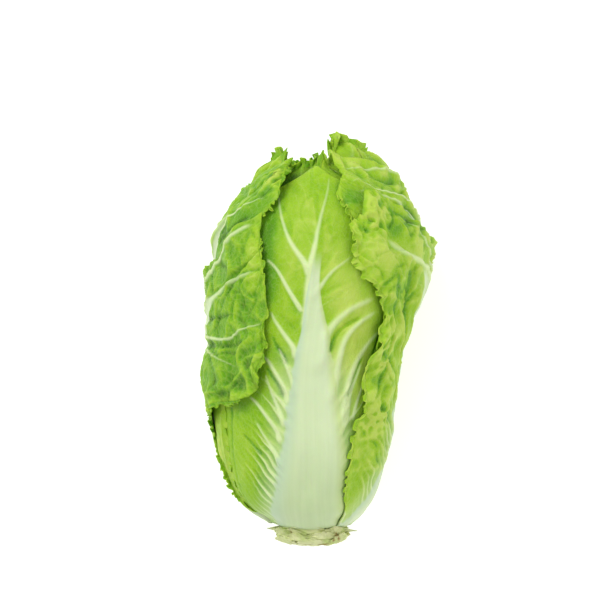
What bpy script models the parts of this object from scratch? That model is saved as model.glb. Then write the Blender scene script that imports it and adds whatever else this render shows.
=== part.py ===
"""A napa cabbage head, lying on its back leaf, as picked: the cut stem, the heart and each
larger leaf around it is a solid of its own.

Frame, in metres: the floor is z = 0, +Z is up, and the head's axis lies along +Y, from the cut
stem towards the leaf tips. The origin lies near the middle of the flat spot that the head rests on.

A place on the head is given by three numbers. turn is the angle round the axis, 0 at the top of
the lying head and growing towards +X. path is the distance walked from the stem to the top along
the head's outline, as a share of the whole. depth is the distance from the core line out along a
ray, and the rays spread like those of a fan, so they never cross. Each leaf is laid over what is
already there, from the heart out, at a depth that clears it.
"""

from dataclasses import dataclass

import bmesh
import bpy
import numpy as np

MM = 0.001

# The head's outline from stem to top, in millimetres
OUTLINE_HEIGHT = (12, 17, 24, 32, 46, 60, 76, 100, 138, 170, 195, 215, 232, 248, 260, 274, 284, 290)
OUTLINE_RADIUS = (27, 33.5, 41, 47.5, 54.5, 59, 62.5, 65.5, 71.5, 76, 78.5, 78.5, 75, 67, 57.5, 43, 28, 9)
# The core line that the rays start from
CORE_PATH = (0, 0.03, 0.09, 0.19, 0.31, 0.47, 0.61, 0.72, 0.82, 0.91, 1)
CORE_HEIGHT = (13, 18, 31, 56, 90, 130, 160, 178, 190, 197, 201)
CORE_RADIUS = 2.0
# How far the axis leans sideways, by height above the cut
LEAN_HEIGHT = (0, 24, 76, 138, 164, 200, 250, 300)
LEAN_SIDE = (0.0, -4.0, -5.0, -4.5, -1.0, 4.0, 7.5, 9.5)
# A lying head is a little lower than it is wide, and its narrow stem end drops to the floor side
FLATTEN = 0.95
TILT = np.radians(6.5)
REST_HEIGHT = 150.0
# The underside gives way by this much where it lies, and what is above follows less and less
PRESSED_BY = 4.4
PRESSED_TO = 55.0
PRESSED_LAST = 0.4
REST_LENGTH = 40.0

# The cut stem, and the core above it that the leaves grow from
STEM_HEIGHT = (0, 1.5, 8, 10.5, 13, 18, 28, 40, 55)
STEM_RADIUS = (23.0, 24.5, 25.0, 24.0, 21.5, 21.0, 20.0, 14.0, 6.0)
STEM_ROWS = 13
STEM_SIDES = 28
STEM_SCARS = 5
SCAR_STEP = 2.0
SCAR_TO = 10.5

# The heart: the packed young leaves, whose depth makes the finished head meet its outline
HEART_FIRST_SHARE = 0.5
HEART_MOST_SHARE = 0.88
HEART_LEAST_SHARE = 0.18
HEART_ROUNDS = 8
HEART_STEP_SHARE = 0.8
HEART_BLUR = 9
FOOT_PATH = 0.08
HEART_FOOT = 0.20
HEART_TOP = 0.995
HEART_SIDES = 30
HEART_ROWS = 17
HEART_LEAVES = 5
HEART_STEP = 3.0
HEART_BELOW = 1.0

# Leaves, in millimetres: the rib is a thick white stalk that thins out upwards
BLADE_THICK = 1.1
STATIONS = (0, 1 / 6, 2 / 6, 3 / 6, 4 / 6, 5 / 6, 1)
RIB_HALF_WIDTH = (27, 24.5, 20, 14, 7.5, 4, 2)
RIB_THICK = (7.0, 7.0, 6.2, 4.6, 3.2, 2.2, 1.3)
RIB_SHOULDER = 4.0
FOOT_ROUNDING = 0.05
PLEATS = 8
PLEAT_RISE = 1.3
EDGE_BEND = 1.5
TIP_START = 0.84
# The grid of a leaf is denser near its sides and its ends
CROWD_EDGES = 1.25
CROWD_ENDS = 0.35

# The map of what is already laid: cells round the head and along it
TURNS = 180
PATHS = 128
SPREAD_CELLS = 3
CELL_SAMPLES = 14


@dataclass(frozen=True)
class Leaf:
    """One leaf. Its rib and its two side edges are each seven (degrees, millimetres) pairs,
    the turn and the height above the cut, from the foot to the tip."""

    name: str
    rib: tuple
    low_edge: tuple
    high_edge: tuple
    gap: float = 1.5
    clearance: float = 1.3
    ruffle: float = 4.5
    waves: float = 6.0
    flare: float = 0.0
    tip_waves: float = 2.2
    rib_scale: float = 1.0
    across: int = 16
    along: int = 20
    seed: int = 1


def smooth(stations, values, at):
    """A smooth curve through the values at the stations, read at one or many places."""
    x = np.asarray(stations, float)
    y = np.asarray(values, float)
    slope = np.gradient(y, x)
    at = np.clip(at, x[0], x[-1])
    i = np.clip(np.searchsorted(x, at, side="right") - 1, 0, len(x) - 2)
    width = x[i + 1] - x[i]
    k = (at - x[i]) / width
    rise = k * k * (3 - 2 * k)
    leave = k * (1 - k) ** 2 * width * slope[i]
    arrive = k * k * (1 - k) * width * slope[i + 1]
    return y[i] * (1 - rise) + y[i + 1] * rise + leave - arrive


def step(at, start, end):
    """0 before start and 1 after end, with a smooth rise between them."""
    k = np.clip((at - start) / (end - start), 0, 1)
    return k * k * (3 - 2 * k)


def wander(at, seed, slowest=1.0, octaves=3):
    """A smooth random curve between about -1 and 1, the same for the same seed."""
    draw = np.random.default_rng(seed)
    total = np.zeros_like(at, dtype=float)
    for octave in range(octaves):
        speed = slowest * 2**octave * draw.uniform(0.8, 1.25)
        total += np.sin(2 * np.pi * (speed * at + draw.uniform())) / 1.6**octave
    return total / 1.9


OUTLINE_WALK = np.concatenate(
    [[0], np.cumsum(np.hypot(np.diff(OUTLINE_HEIGHT), np.diff(OUTLINE_RADIUS)))]
)
OUTLINE_LENGTH = OUTLINE_WALK[-1]
OUTLINE_PATH = OUTLINE_WALK / OUTLINE_LENGTH


def path_at(height):
    """The path whose outline point is this high above the cut."""
    fine = np.linspace(0, 1, 400)
    return np.interp(height, smooth(OUTLINE_PATH, OUTLINE_HEIGHT, fine), fine)


def rays(path):
    """The start and the unit direction of the ray at this path, in height and radius, and the
    depth at which it meets the outline."""
    low = smooth(CORE_PATH, CORE_HEIGHT, path)
    up = smooth(OUTLINE_PATH, OUTLINE_HEIGHT, path) - low
    out = smooth(OUTLINE_PATH, OUTLINE_RADIUS, path) - CORE_RADIUS
    length = np.hypot(up, out)
    return low, up / length, out / length, length


def place(turn, path, depth):
    """The point in metres, before the head is set down on the floor."""
    low, up, out, _ = rays(path)
    height = low + up * depth
    radius = CORE_RADIUS + out * depth
    return on_axis(turn, height, radius)


def on_axis(turn, height, radius):
    """The point at this turn, height above the cut and radius, with the axis above z = 0."""
    side = smooth(LEAN_HEIGHT, LEAN_SIDE, height) + radius * np.sin(turn)
    up = height - REST_HEIGHT
    level = FLATTEN * radius * np.cos(turn)
    ahead = up * np.cos(TILT) - level * np.sin(TILT)
    above = up * np.sin(TILT) + level * np.cos(TILT)
    return np.stack([side, ahead, above], axis=-1) * MM


class Laid:
    """How deep the leaves laid so far reach, on a grid of turn and path."""

    def __init__(self, depth):
        self.depth = depth

    @staticmethod
    def grid():
        turn = np.arange(TURNS) * 2 * np.pi / TURNS
        return np.meshgrid(turn, np.linspace(0, 1, PATHS), indexing="ij")

    def read(self, turn, path, values=None):
        """The grid's value at any turn and path."""
        values = self.depth if values is None else values
        i = (turn / (2 * np.pi) * TURNS) % TURNS
        j = np.clip(path, 0, 1) * (PATHS - 1)
        i0, j0 = np.floor(i).astype(int), np.minimum(np.floor(j).astype(int), PATHS - 2)
        a, b = i - i0, j - j0
        i0 %= TURNS
        i1 = (i0 + 1) % TURNS
        near = values[i0, j0] * (1 - a) + values[i1, j0] * a
        far = values[i0, j0 + 1] * (1 - a) + values[i1, j0 + 1] * a
        return near * (1 - b) + far * b

    def add(self, turn, path, depth):
        """Raises the cells under these samples to their depth."""
        i = np.round(turn / (2 * np.pi) * TURNS).astype(int) % TURNS
        j = np.clip(np.round(path * (PATHS - 1)).astype(int), 0, PATHS - 1)
        np.maximum.at(self.depth, (i.ravel(), j.ravel()), depth.ravel())


def blurred(values, rounds):
    """The values blurred round the head and along it."""
    for _ in range(rounds):
        padded = np.pad(values, ((0, 0), (1, 1)), mode="edge")
        values = (padded[:, :-2] + 2 * values + padded[:, 2:]) / 4
        values = (np.roll(values, 1, 0) + 2 * values + np.roll(values, -1, 0)) / 4
    return values


def widened(values, cells):
    """The largest value within some cells, then blurred: a surface that rides over all steps."""
    for _ in range(cells):
        padded = np.pad(values, ((0, 0), (1, 1)), mode="edge")
        values = np.maximum(values, np.maximum(padded[:, :-2], padded[:, 2:]))
        values = np.maximum(values, np.maximum(np.roll(values, 1, 0), np.roll(values, -1, 0)))
    return blurred(values, cells)


def ridden(laid, cells=SPREAD_CELLS):
    """The depths that a leaf laid on this may have. Shares of the rays are widened rather than
    depths, so that the head's own slope adds nothing."""
    length = rays(Laid.grid()[1])[3]
    return widened(laid.depth / length, cells) * length


def leaf_place(leaf, u, v):
    """Turn and path of the leaf at u, from -1 at the low edge to 1 at the high edge, and v, from
    0 at the foot to 1 at the tip, and the distance from the rib in millimetres."""
    rib, low, high = (np.array(x, float).T for x in (leaf.rib, leaf.low_edge, leaf.high_edge))
    rib_turn, rib_height = (smooth(STATIONS, row, v) for row in rib)
    low_turn, low_height = (smooth(STATIONS, row, v) for row in low)
    high_turn, high_height = (smooth(STATIONS, row, v) for row in high)
    share = np.abs(u)
    edge_turn = np.where(u < 0, low_turn, high_turn)
    edge_height = np.where(u < 0, low_height, high_height)
    notch = wander(v + 0.37 * np.sign(u), leaf.seed, 3.0) * step(v, 0.25, 0.5) * share**4
    tip_notch = wander(u, leaf.seed + 40, 2.0) * step(v, TIP_START, 1) * min(leaf.tip_waves, 1) ** 2
    turn = rib_turn + (edge_turn - rib_turn) * share * (1 + 0.08 * notch)
    height = rib_height + (edge_height - rib_height) * share**EDGE_BEND
    path = path_at(height) + 0.02 * tip_notch
    path = np.clip(path, 0, 0.985)
    radius = smooth(OUTLINE_PATH, OUTLINE_RADIUS, path)
    away = np.radians(np.abs(turn - rib_turn)) * radius
    return np.radians(turn), path, away


def leaf_thickness(leaf, v, away):
    """The leaf's thickness: a thin blade with a thick rib, rounded off at the foot."""
    half_width = smooth(STATIONS, RIB_HALF_WIDTH, v) * leaf.rib_scale
    rib = smooth(STATIONS, RIB_THICK, v) * leaf.rib_scale
    body = BLADE_THICK + (rib - BLADE_THICK) * np.exp(-((away / half_width) ** RIB_SHOULDER))
    foot = np.clip(v / FOOT_ROUNDING, 0, 1)
    return np.maximum(body * np.sqrt(1 - 0.75 * (1 - foot) ** 2), BLADE_THICK)


def leaf_ruffle(leaf, u, v, free):
    """How far the blade puffs out between its side veins and waves at its free edges."""
    share = np.abs(u)
    near_edge = np.maximum(step(share, 0.45, 1.0), step(v, 0.72, 1.0))
    phase = leaf.waves * (v + 0.12 * share) + 0.25 * wander(v, leaf.seed + 7, 1.5)
    wave = 0.5 + 0.5 * np.sin(2 * np.pi * phase + np.where(u < 0, 0.0, 2.1))
    tip_wave = 0.5 + 0.5 * np.sin(2 * np.pi * (leaf.tip_waves * u + 0.3 * wander(u, leaf.seed + 9)))
    wave = wave + (tip_wave - wave) * step(v, TIP_START, 1)
    grown = step(v, 0.22, 0.5)
    ruffle = leaf.ruffle * near_edge * grown * wave
    vein = PLEATS * (v - 0.22 * share) + 0.3 * wander(v, leaf.seed + 5, 1.2)
    pleat = PLEAT_RISE * (0.5 + 0.5 * np.cos(2 * np.pi * vein)) * step(share, 0.12, 0.4)
    narrow = 1 - step(v, 0.75, 0.95) * (1 - min(leaf.tip_waves, 1))
    return (ruffle + pleat * step(v, 0.1, 0.35)) * narrow * free


def leaf_grid(leaf):
    """The leaf's grid of u and v, denser near its sides and its ends."""
    across = np.linspace(-1, 1, leaf.across + 1)
    across = np.sign(across) * (1 - (1 - np.abs(across)) ** CROWD_EDGES)
    along = np.linspace(0, 1, leaf.along + 1)
    along = along - CROWD_ENDS * np.sin(2 * np.pi * along) / (2 * np.pi)
    return np.meshgrid(across, along)


def within_cells(values):
    """A grid's values all over its cells, each of which is two triangles that share a diagonal."""
    share = (np.arange(CELL_SAMPLES) + 0.5) / CELL_SAMPLES
    a, b = share[:, None, None, None], share[None, :, None, None]
    here, beside, above, across = values[:-1, :-1], values[:-1, 1:], values[1:, :-1], values[1:, 1:]
    below_diagonal = here + a * (beside - here) + b * (across - beside)
    above_diagonal = here + b * (above - here) + a * (across - above)
    return np.where(a >= b, below_diagonal, above_diagonal)


def cleared(leaf, turn, path, depth, laid):
    """The depths at the grid's corners, raised where a cell would cut through what it lies on."""
    under = Laid(ridden(laid, 1)).read(within_cells(turn), within_cells(path))
    lack = np.maximum(under + leaf.clearance - within_cells(depth), 0).max(axis=(0, 1))
    rows, columns = lack.shape
    raised = depth.copy()
    for i in (0, 1):
        for j in (0, 1):
            part = raised[i : rows + i, j : columns + j]
            np.maximum(part, depth[i : rows + i, j : columns + j] + lack, out=part)
    return raised


def leaf_faces(leaf, laid, cover):
    """Turn, path, and the depths of the leaf's inner and outer face, on the leaf's grid."""
    u, v = leaf_grid(leaf)
    turn, path, away = leaf_place(leaf, u, v)
    free = 1 - np.clip(laid.read(turn, path, cover), 0, 1)
    gap = leaf.gap * (0.55 + 0.45 * step(v, 0, 0.3))
    flare = leaf.flare * step(v, TIP_START - 0.06, 1) ** 2 * (1 - 0.8 * np.abs(u))
    inner = laid.read(turn, path, ridden(laid)) + gap
    inner = inner + leaf_ruffle(leaf, u, v, free) + flare * free
    inner = cleared(leaf, turn, path, inner, laid)
    return turn, path, inner, inner + leaf_thickness(leaf, v, away)


def stem_depth(path):
    """The depth at which each ray leaves the stem's core."""
    low, up, out, _ = rays(path)
    depth = np.linspace(0, 60, 241)
    height = low[..., None] + up[..., None] * depth
    radius = CORE_RADIUS + out[..., None] * depth
    inside = radius <= smooth(STEM_HEIGHT, STEM_RADIUS, height) * (height < STEM_HEIGHT[-1])
    return (inside * depth).max(axis=-1)


def covers(leaves):
    """For each leaf, how much of the head later leaves cover, on the grid."""
    later = Laid(np.zeros((TURNS, PATHS)))
    found = []
    for leaf in reversed(leaves):
        found.append(widened(later.depth, SPREAD_CELLS))
        turn, path, _ = leaf_place(leaf, *leaf_grid(leaf))
        turn, path = within_cells(turn), within_cells(path)
        later.add(turn, path, np.ones_like(turn))
    return found[::-1]


def stacked(leaves, base):
    """Lays the leaves over the base depths, from the inmost out: their faces, and the finished
    surface."""
    laid = Laid(base.copy())
    faces = []
    for leaf, cover in zip(leaves, covers(leaves)):
        turn, path, inner, outer = leaf_faces(leaf, laid, cover)
        laid.add(within_cells(turn), within_cells(path), within_cells(outer))
        faces.append((turn, path, inner, outer))
    return faces, laid


def heart_base(leaves):
    """The depths that the inmost leaf lies on, so that all of them together meet the outline."""
    _, path = Laid.grid()
    length = rays(path)[3]
    least = np.maximum(stem_depth(path), HEART_LEAST_SHARE * length * step(path, 0.15, 0.3))
    most = np.maximum(least, HEART_MOST_SHARE * length * step(path, 0, FOOT_PATH))
    base = np.clip(HEART_FIRST_SHARE * length, least, most)
    for _ in range(HEART_ROUNDS):
        _, laid = stacked(leaves, base)
        base = base + HEART_STEP_SHARE * blurred(length - laid.depth, HEART_BLUR)
        base = np.clip(base, least, most)
    return base


def heart_depth(base, turn, path):
    """The heart's surface: young leaves that overlap like scales, parted at the top."""
    lap = (HEART_LEAVES * turn / (2 * np.pi) + 1.6 * path) % 1.0
    groove = HEART_STEP * np.maximum(lap, 1 - 8 * lap)
    deeper = step(path, HEART_FOOT, 0.4) + step(path, 0.8, 0.95)
    return base.read(turn, path) - HEART_BELOW - groove * deeper


class Floor:
    """Sets the finished head down: its underside is pressed flat where it lies."""

    def __init__(self, laid):
        self.laid = laid
        turn, path = Laid.grid()
        points = place(turn, path, laid.depth)
        near = np.abs(points[..., 1]) < REST_LENGTH * MM
        self.level = points[..., 2][near].min() + PRESSED_BY * MM

    def settle(self, points, turn, path):
        """The points above the floor, those near it lifted by what the underside gives way."""
        under = place(turn, path, self.laid.read(turn, path))[..., 2] - self.level
        lift = np.maximum(0, -under - PRESSED_LAST * MM)
        set_down = points.copy()
        set_down[..., 2] -= self.level
        set_down[..., 2] += lift * (1 - step(set_down[..., 2], 0, PRESSED_TO * MM))
        return set_down


def grid_order(vert):
    """Orders a flat grid's vertices along x, row by row in y."""
    return round(vert.co.y, 4), round(vert.co.x, 4)


def closed_sheet(name, across, along, inner_points, outer_points):
    """A closed solid from a grid, with its inner and outer face at the given points."""
    mesh = bmesh.new()
    bmesh.ops.create_grid(mesh, x_segments=across, y_segments=along, size=1.0)
    bmesh.ops.triangulate(mesh, faces=mesh.faces[:], quad_method="FIXED")
    inner = sorted(mesh.verts, key=grid_order)
    raised = bmesh.ops.extrude_face_region(mesh, geom=mesh.faces[:])["geom"]
    outer = sorted((item for item in raised if isinstance(item, bmesh.types.BMVert)), key=grid_order)
    for verts, points in ((inner, inner_points), (outer, outer_points)):
        for vert, point in zip(verts, points.reshape(-1, 3)):
            vert.co = point
    bmesh.ops.triangulate(mesh, faces=mesh.faces[:])
    bmesh.ops.recalc_face_normals(mesh, faces=mesh.faces)
    return link(name, mesh)


def link(name, mesh):
    """An object of this name from a bmesh, shaded smooth."""
    if mesh.calc_volume(signed=True) < 0:
        bmesh.ops.reverse_faces(mesh, faces=mesh.faces)
    data = bpy.data.meshes.new(name)
    mesh.to_mesh(data)
    mesh.free()
    data.shade_smooth()
    made = bpy.data.objects.new(name, data)
    bpy.context.scene.collection.objects.link(made)
    return made


def turned_solid(name, sides, rows, shape):
    """A closed solid of rings round the axis, placed by shape(turn, row), with both ends capped."""
    mesh = bmesh.new()
    turn = np.arange(sides) * 2 * np.pi / sides
    rings = []
    for row in range(rows):
        points = shape(turn, np.full(sides, row / (rows - 1)))
        rings.append([mesh.verts.new(point) for point in points])
    for lower, upper in zip(rings, rings[1:]):
        for i in range(sides):
            j = (i + 1) % sides
            mesh.faces.new((lower[i], lower[j], upper[j], upper[i]))
    for ring in (rings[0], rings[-1]):
        face = mesh.faces.new(ring)
        bmesh.ops.poke(mesh, faces=[face])
    bmesh.ops.triangulate(mesh, faces=mesh.faces[:])
    bmesh.ops.recalc_face_normals(mesh, faces=mesh.faces)
    return link(name, mesh)


def plain_leaf(name, turn, spread_deg, foot, tip, **more):
    """A leaf of the usual broad shape, with its rib at one turn."""
    widths = (0.50, 0.62, 0.80, 0.95, 1.0, 0.88, 0.55)
    drop = (0, 0, 0, 0, 2, 5, 10)
    heights = [foot + (tip - foot) * k for k in STATIONS]
    rib = tuple((turn, height) for height in heights)
    low = tuple((turn - spread_deg * w, h - d) for w, h, d in zip(widths, heights, drop))
    high = tuple((turn + spread_deg * w, h - d) for w, h, d in zip(widths, heights, drop))
    return Leaf(name, rib, low, high, **more)


def inner_leaves():
    """The leaves round the heart, each a golden angle on from the last."""
    golden = 137.5
    return [
        plain_leaf(
            f"leaf_inner_{n + 1}", 20 + golden * n, 92 + n, 52 - 4.5 * n, 288 - 1.5 * n,
            gap=1.5, clearance=2.6, ruffle=2.5, waves=4.0, rib_scale=0.4 + 0.02 * n,
            across=12, along=14, seed=11 + n,
        )
        for n in range(7)
    ]


def outer_leaves():
    """The large leaves outside them, from the inmost out. Turn 0 faces up."""
    return [
        Leaf(
            "leaf_back_left",
            rib=((212, 22), (214, 65), (216, 112), (220, 160), (226, 208), (226, 246), (222, 277)),
            low_edge=((164, 22), (150, 65), (136, 112), (132, 160), (140, 206), (160, 240), (196, 268)),
            high_edge=((260, 22), (276, 65), (296, 112), (306, 160), (310, 206), (306, 240), (284, 268)),
            flare=7, rib_scale=0.55, across=14, along=16, seed=31,
        ),
        Leaf(
            "leaf_back_right",
            rib=((148, 19), (147, 62), (144, 110), (140, 158), (130, 206), (100, 248), (18, 292)),
            low_edge=((100, 19), (86, 62), (66, 110), (56, 158), (50, 206), (36, 240), (-6, 272)),
            high_edge=((196, 19), (210, 62), (224, 110), (228, 158), (222, 206), (206, 242), (176, 274)),
            flare=19, rib_scale=0.6, across=14, along=16, seed=32,
        ),
        Leaf(
            "leaf_front",
            rib=((3, 13), (6, 57), (6, 100), (4, 145), (-1, 188), (1, 232), (3, 276)),
            low_edge=((-76, 16), (-96, 48), (-95, 88), (-82, 130), (-70, 175), (-57, 225), (-30, 258)),
            high_edge=((72, 16), (76, 48), (70, 88), (66, 130), (66, 175), (58, 225), (36, 258)),
            seed=33,
        ),
        Leaf(
            "leaf_upper_right",
            rib=((112, 14), (112, 65), (105, 120), (92, 175), (72, 224), (44, 252), (15, 266)),
            low_edge=((80, 18), (62, 55), (52, 100), (46, 150), (38, 196), (24, 228), (12, 250)),
            high_edge=((146, 16), (160, 60), (165, 115), (155, 175), (120, 232), (70, 266), (14, 282)),
            rib_scale=0.6, tip_waves=0.4, seed=34,
        ),
        Leaf(
            "leaf_upper_left",
            rib=((-118, 14), (-115, 65), (-108, 120), (-96, 175), (-82, 222), (-60, 252), (-32, 268)),
            low_edge=((-150, 16), (-165, 60), (-172, 115), (-165, 175), (-138, 228), (-92, 256), (-34, 277)),
            high_edge=((-92, 18), (-86, 55), (-70, 100), (-60, 150), (-54, 200), (-42, 232), (-28, 250)),
            rib_scale=0.4, tip_waves=0.4, seed=35,
        ),
        Leaf(
            "leaf_left",
            rib=((-106, 13), (-110, 50), (-106, 95), (-96, 135), (-76, 170), (-50, 192), (-28, 210)),
            low_edge=((-134, 16), (-144, 50), (-152, 95), (-150, 140), (-120, 180), (-72, 208), (-34, 238)),
            high_edge=((-80, 16), (-90, 50), (-88, 84), (-60, 104), (-34, 110), (-24, 140), (-25, 178)),
            rib_scale=0.65, tip_waves=0.3, seed=36,
        ),
        Leaf(
            "leaf_right",
            rib=((86, 13), (90, 55), (90, 105), (88, 150), (80, 188), (50, 210), (20, 234)),
            low_edge=((52, 18), (37, 45), (35, 85), (38, 125), (38, 170), (24, 198), (13, 228)),
            high_edge=((120, 16), (132, 50), (140, 100), (142, 150), (112, 198), (56, 238), (22, 250)),
            rib_scale=0.85, tip_waves=0.3, seed=37,
        ),
        Leaf(
            "leaf_back",
            rib=((180, 13), (180, 60), (180, 105), (180, 150), (180, 195), (180, 235), (180, 266)),
            low_edge=((138, 16), (124, 50), (118, 90), (114, 135), (116, 180), (124, 222), (140, 255)),
            high_edge=((222, 16), (238, 50), (243, 90), (247, 135), (245, 180), (238, 222), (222, 255)),
            across=16, along=18, seed=38,
        ),
    ]


def stem_point(turn, row):
    """The stem from its cut face up to the core's tip inside the head. The scars round the cut
    end are the stubs of the leaves that were trimmed off."""
    height = smooth(np.linspace(0, 1, len(STEM_HEIGHT)), STEM_HEIGHT, row)
    lap = (STEM_SCARS * turn / (2 * np.pi) + 0.07 * height) % 1.0
    scar = SCAR_STEP * np.minimum(1 - lap, 6 * lap) * (1 - step(height, SCAR_TO - 4, SCAR_TO))
    return on_axis(turn, height, smooth(STEM_HEIGHT, STEM_RADIUS, height) + scar)


def material(name, colour, roughness):
    """A plain Principled material."""
    made = bpy.data.materials.new(name)
    made.use_nodes = True
    shader = made.node_tree.nodes["Principled BSDF"]
    shader.inputs["Base Color"].default_value = (*colour, 1.0)
    shader.inputs["Roughness"].default_value = roughness
    shader.inputs["Metallic"].default_value = 0.0
    return made


def clear_scene():
    """Removes what the file holds at the start."""
    for old in list(bpy.data.objects):
        bpy.data.objects.remove(old, do_unlink=True)


def main():
    clear_scene()
    leaf_green = material("leaf_green", (0.30, 0.52, 0.06), 0.45)
    heart_yellow = material("heart_yellow", (0.62, 0.70, 0.22), 0.5)
    stem_cream = material("stem_cream", (0.60, 0.62, 0.36), 0.7)

    leaves = inner_leaves() + outer_leaves()
    base = heart_base(leaves)
    faces, laid = stacked(leaves, base)
    floor = Floor(laid)

    def heart_shape(turn, row):
        path = HEART_FOOT + (HEART_TOP - HEART_FOOT) * row
        points = place(turn, path, heart_depth(Laid(base), turn, path))
        return floor.settle(points, turn, path)

    def stem_shape(turn, row):
        points = stem_point(turn, row)
        return floor.settle(points, turn, np.zeros_like(turn))

    heart = turned_solid("heart", HEART_SIDES, HEART_ROWS, heart_shape)
    heart.data.materials.append(heart_yellow)
    stem = turned_solid("stem", STEM_SIDES, STEM_ROWS, stem_shape)
    stem.data.materials.append(stem_cream)

    for leaf, (turn, path, inner, outer) in zip(leaves, faces):
        sides = [floor.settle(place(turn, path, depth), turn, path) for depth in (inner, outer)]
        sides[1][..., 2] = np.maximum(sides[1][..., 2], 0)
        made = closed_sheet(leaf.name, leaf.across, leaf.along, *sides)
        made.data.materials.append(leaf_green)


main()
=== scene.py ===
"""The looks of a napa cabbage head that lies on its back leaf.

Every leaf is laid again over the ones inside it, as in the solid model, but on a fine grid: with
its veins, the dimples between them, its pleats, crumples and frilled margins. A place on the head
is a turn round its axis (0 on top, growing towards +X), a path from the stem to the top along the
outline (0 to 1), and a depth along a ray from the core. Lengths are millimetres until a mesh is
made, which is in metres.
"""

import logging
from collections.abc import Callable
from dataclasses import dataclass, replace
from enum import Enum

import bmesh
import bpy
import numpy as np
from mathutils import Matrix, Vector


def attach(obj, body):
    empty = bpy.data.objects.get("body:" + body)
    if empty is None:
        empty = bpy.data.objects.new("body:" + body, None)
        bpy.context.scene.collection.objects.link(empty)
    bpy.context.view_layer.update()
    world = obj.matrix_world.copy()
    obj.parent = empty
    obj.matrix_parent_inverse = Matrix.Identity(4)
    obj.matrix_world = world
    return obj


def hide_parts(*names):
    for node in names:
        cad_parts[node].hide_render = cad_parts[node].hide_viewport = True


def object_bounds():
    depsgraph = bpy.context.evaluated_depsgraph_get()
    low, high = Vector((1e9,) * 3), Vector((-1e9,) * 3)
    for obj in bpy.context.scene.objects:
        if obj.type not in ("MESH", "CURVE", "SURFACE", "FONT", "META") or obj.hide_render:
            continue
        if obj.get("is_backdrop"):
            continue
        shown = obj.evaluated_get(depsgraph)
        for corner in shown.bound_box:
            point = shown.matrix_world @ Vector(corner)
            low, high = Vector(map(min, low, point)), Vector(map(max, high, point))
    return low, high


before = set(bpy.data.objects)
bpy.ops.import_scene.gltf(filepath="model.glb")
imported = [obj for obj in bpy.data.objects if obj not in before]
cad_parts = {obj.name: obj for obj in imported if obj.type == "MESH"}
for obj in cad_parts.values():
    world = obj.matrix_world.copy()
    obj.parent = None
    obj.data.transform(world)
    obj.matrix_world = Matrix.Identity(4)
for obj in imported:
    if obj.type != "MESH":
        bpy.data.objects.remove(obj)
CAD_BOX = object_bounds()

Array = np.ndarray
Pairs = tuple[tuple[float, float], ...]
Placing = Callable[[Array, Array], tuple[Array, dict[str, Array]]]
Colour = tuple[float, float, float]
MM = 0.001
RANDOM_GRID = 64
FLAT_UNIT = 100.0
LOG = logging.getLogger("napa_cabbage")


def smooth(stations: Array, values: Array, at: Array) -> Array:
    """A smooth curve through values at stations.

    Args:
        stations: Where the values are given, growing.
        values: The values there.
        at: Where to read the curve.

    Returns:
        The curve's values.
    """
    x = np.asarray(stations, float)
    y = np.asarray(values, float)
    slope = np.gradient(y, x)
    at = np.clip(at, x[0], x[-1])
    i = np.clip(np.searchsorted(x, at, side="right") - 1, 0, len(x) - 2)
    width = x[i + 1] - x[i]
    k = (at - x[i]) / width
    rise = k * k * (3 - 2 * k)
    leave = k * (1 - k) ** 2 * width * slope[i]
    arrive = k * k * (1 - k) * width * slope[i + 1]
    return y[i] * (1 - rise) + y[i + 1] * rise + leave - arrive


def step(at: Array, start: float, end: float) -> Array:
    """0 before start, 1 after end, and a smooth rise between them."""
    k = np.clip((at - start) / (end - start), 0, 1)
    return k * k * (3 - 2 * k)


def wander(at: Array, seed: int, slowest: float = 1.0, octaves: int = 3) -> Array:
    """A smooth random curve between about -1 and 1.

    Args:
        at: Where to read it.
        seed: Picks the curve.
        slowest: Waves of the slowest octave in one unit.
        octaves: How many octaves are summed.

    Returns:
        The curve's values.
    """
    draw = np.random.default_rng(seed)
    total = np.zeros_like(at, dtype=float)
    for octave in range(octaves):
        speed = slowest * 2**octave * draw.uniform(0.8, 1.25)
        total += np.sin(2 * np.pi * (speed * at + draw.uniform())) / 1.6**octave
    return total / 1.9


def clouds(x: Array, y: Array, size: float, seed: int, octaves: int = 2) -> Array:
    """A smooth random field between about -1 and 1.

    Args:
        x: First coordinate, in millimetres.
        y: Second coordinate.
        size: Length of the slowest wave.
        seed: Picks the field.
        octaves: How many octaves are summed.

    Returns:
        The field's values.
    """
    draw = np.random.default_rng(seed)
    angle = draw.uniform(0, 2 * np.pi, (RANDOM_GRID, RANDOM_GRID))
    slope_x, slope_y = np.cos(angle), np.sin(angle)
    total = np.zeros_like(x, dtype=float)
    for octave in range(octaves):
        speed = 2**octave / (0.62 * size)
        gx, gy = x * speed + 31.7 * octave, y * speed + 9.1 * octave
        ix, iy = np.floor(gx).astype(int), np.floor(gy).astype(int)
        fx, fy = gx - ix, gy - iy
        corners = []
        for dx in (0, 1):
            for dy in (0, 1):
                at = ((ix + dx) % RANDOM_GRID, (iy + dy) % RANDOM_GRID)
                corners.append(slope_x[at] * (fx - dx) + slope_y[at] * (fy - dy))
        wx, wy = step(fx, 0, 1), step(fy, 0, 1)
        low = corners[0] * (1 - wy) + corners[1] * wy
        high = corners[2] * (1 - wy) + corners[3] * wy
        total += 1.9 * (low * (1 - wx) + high * wx) / 1.8**octave
    return total


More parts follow.
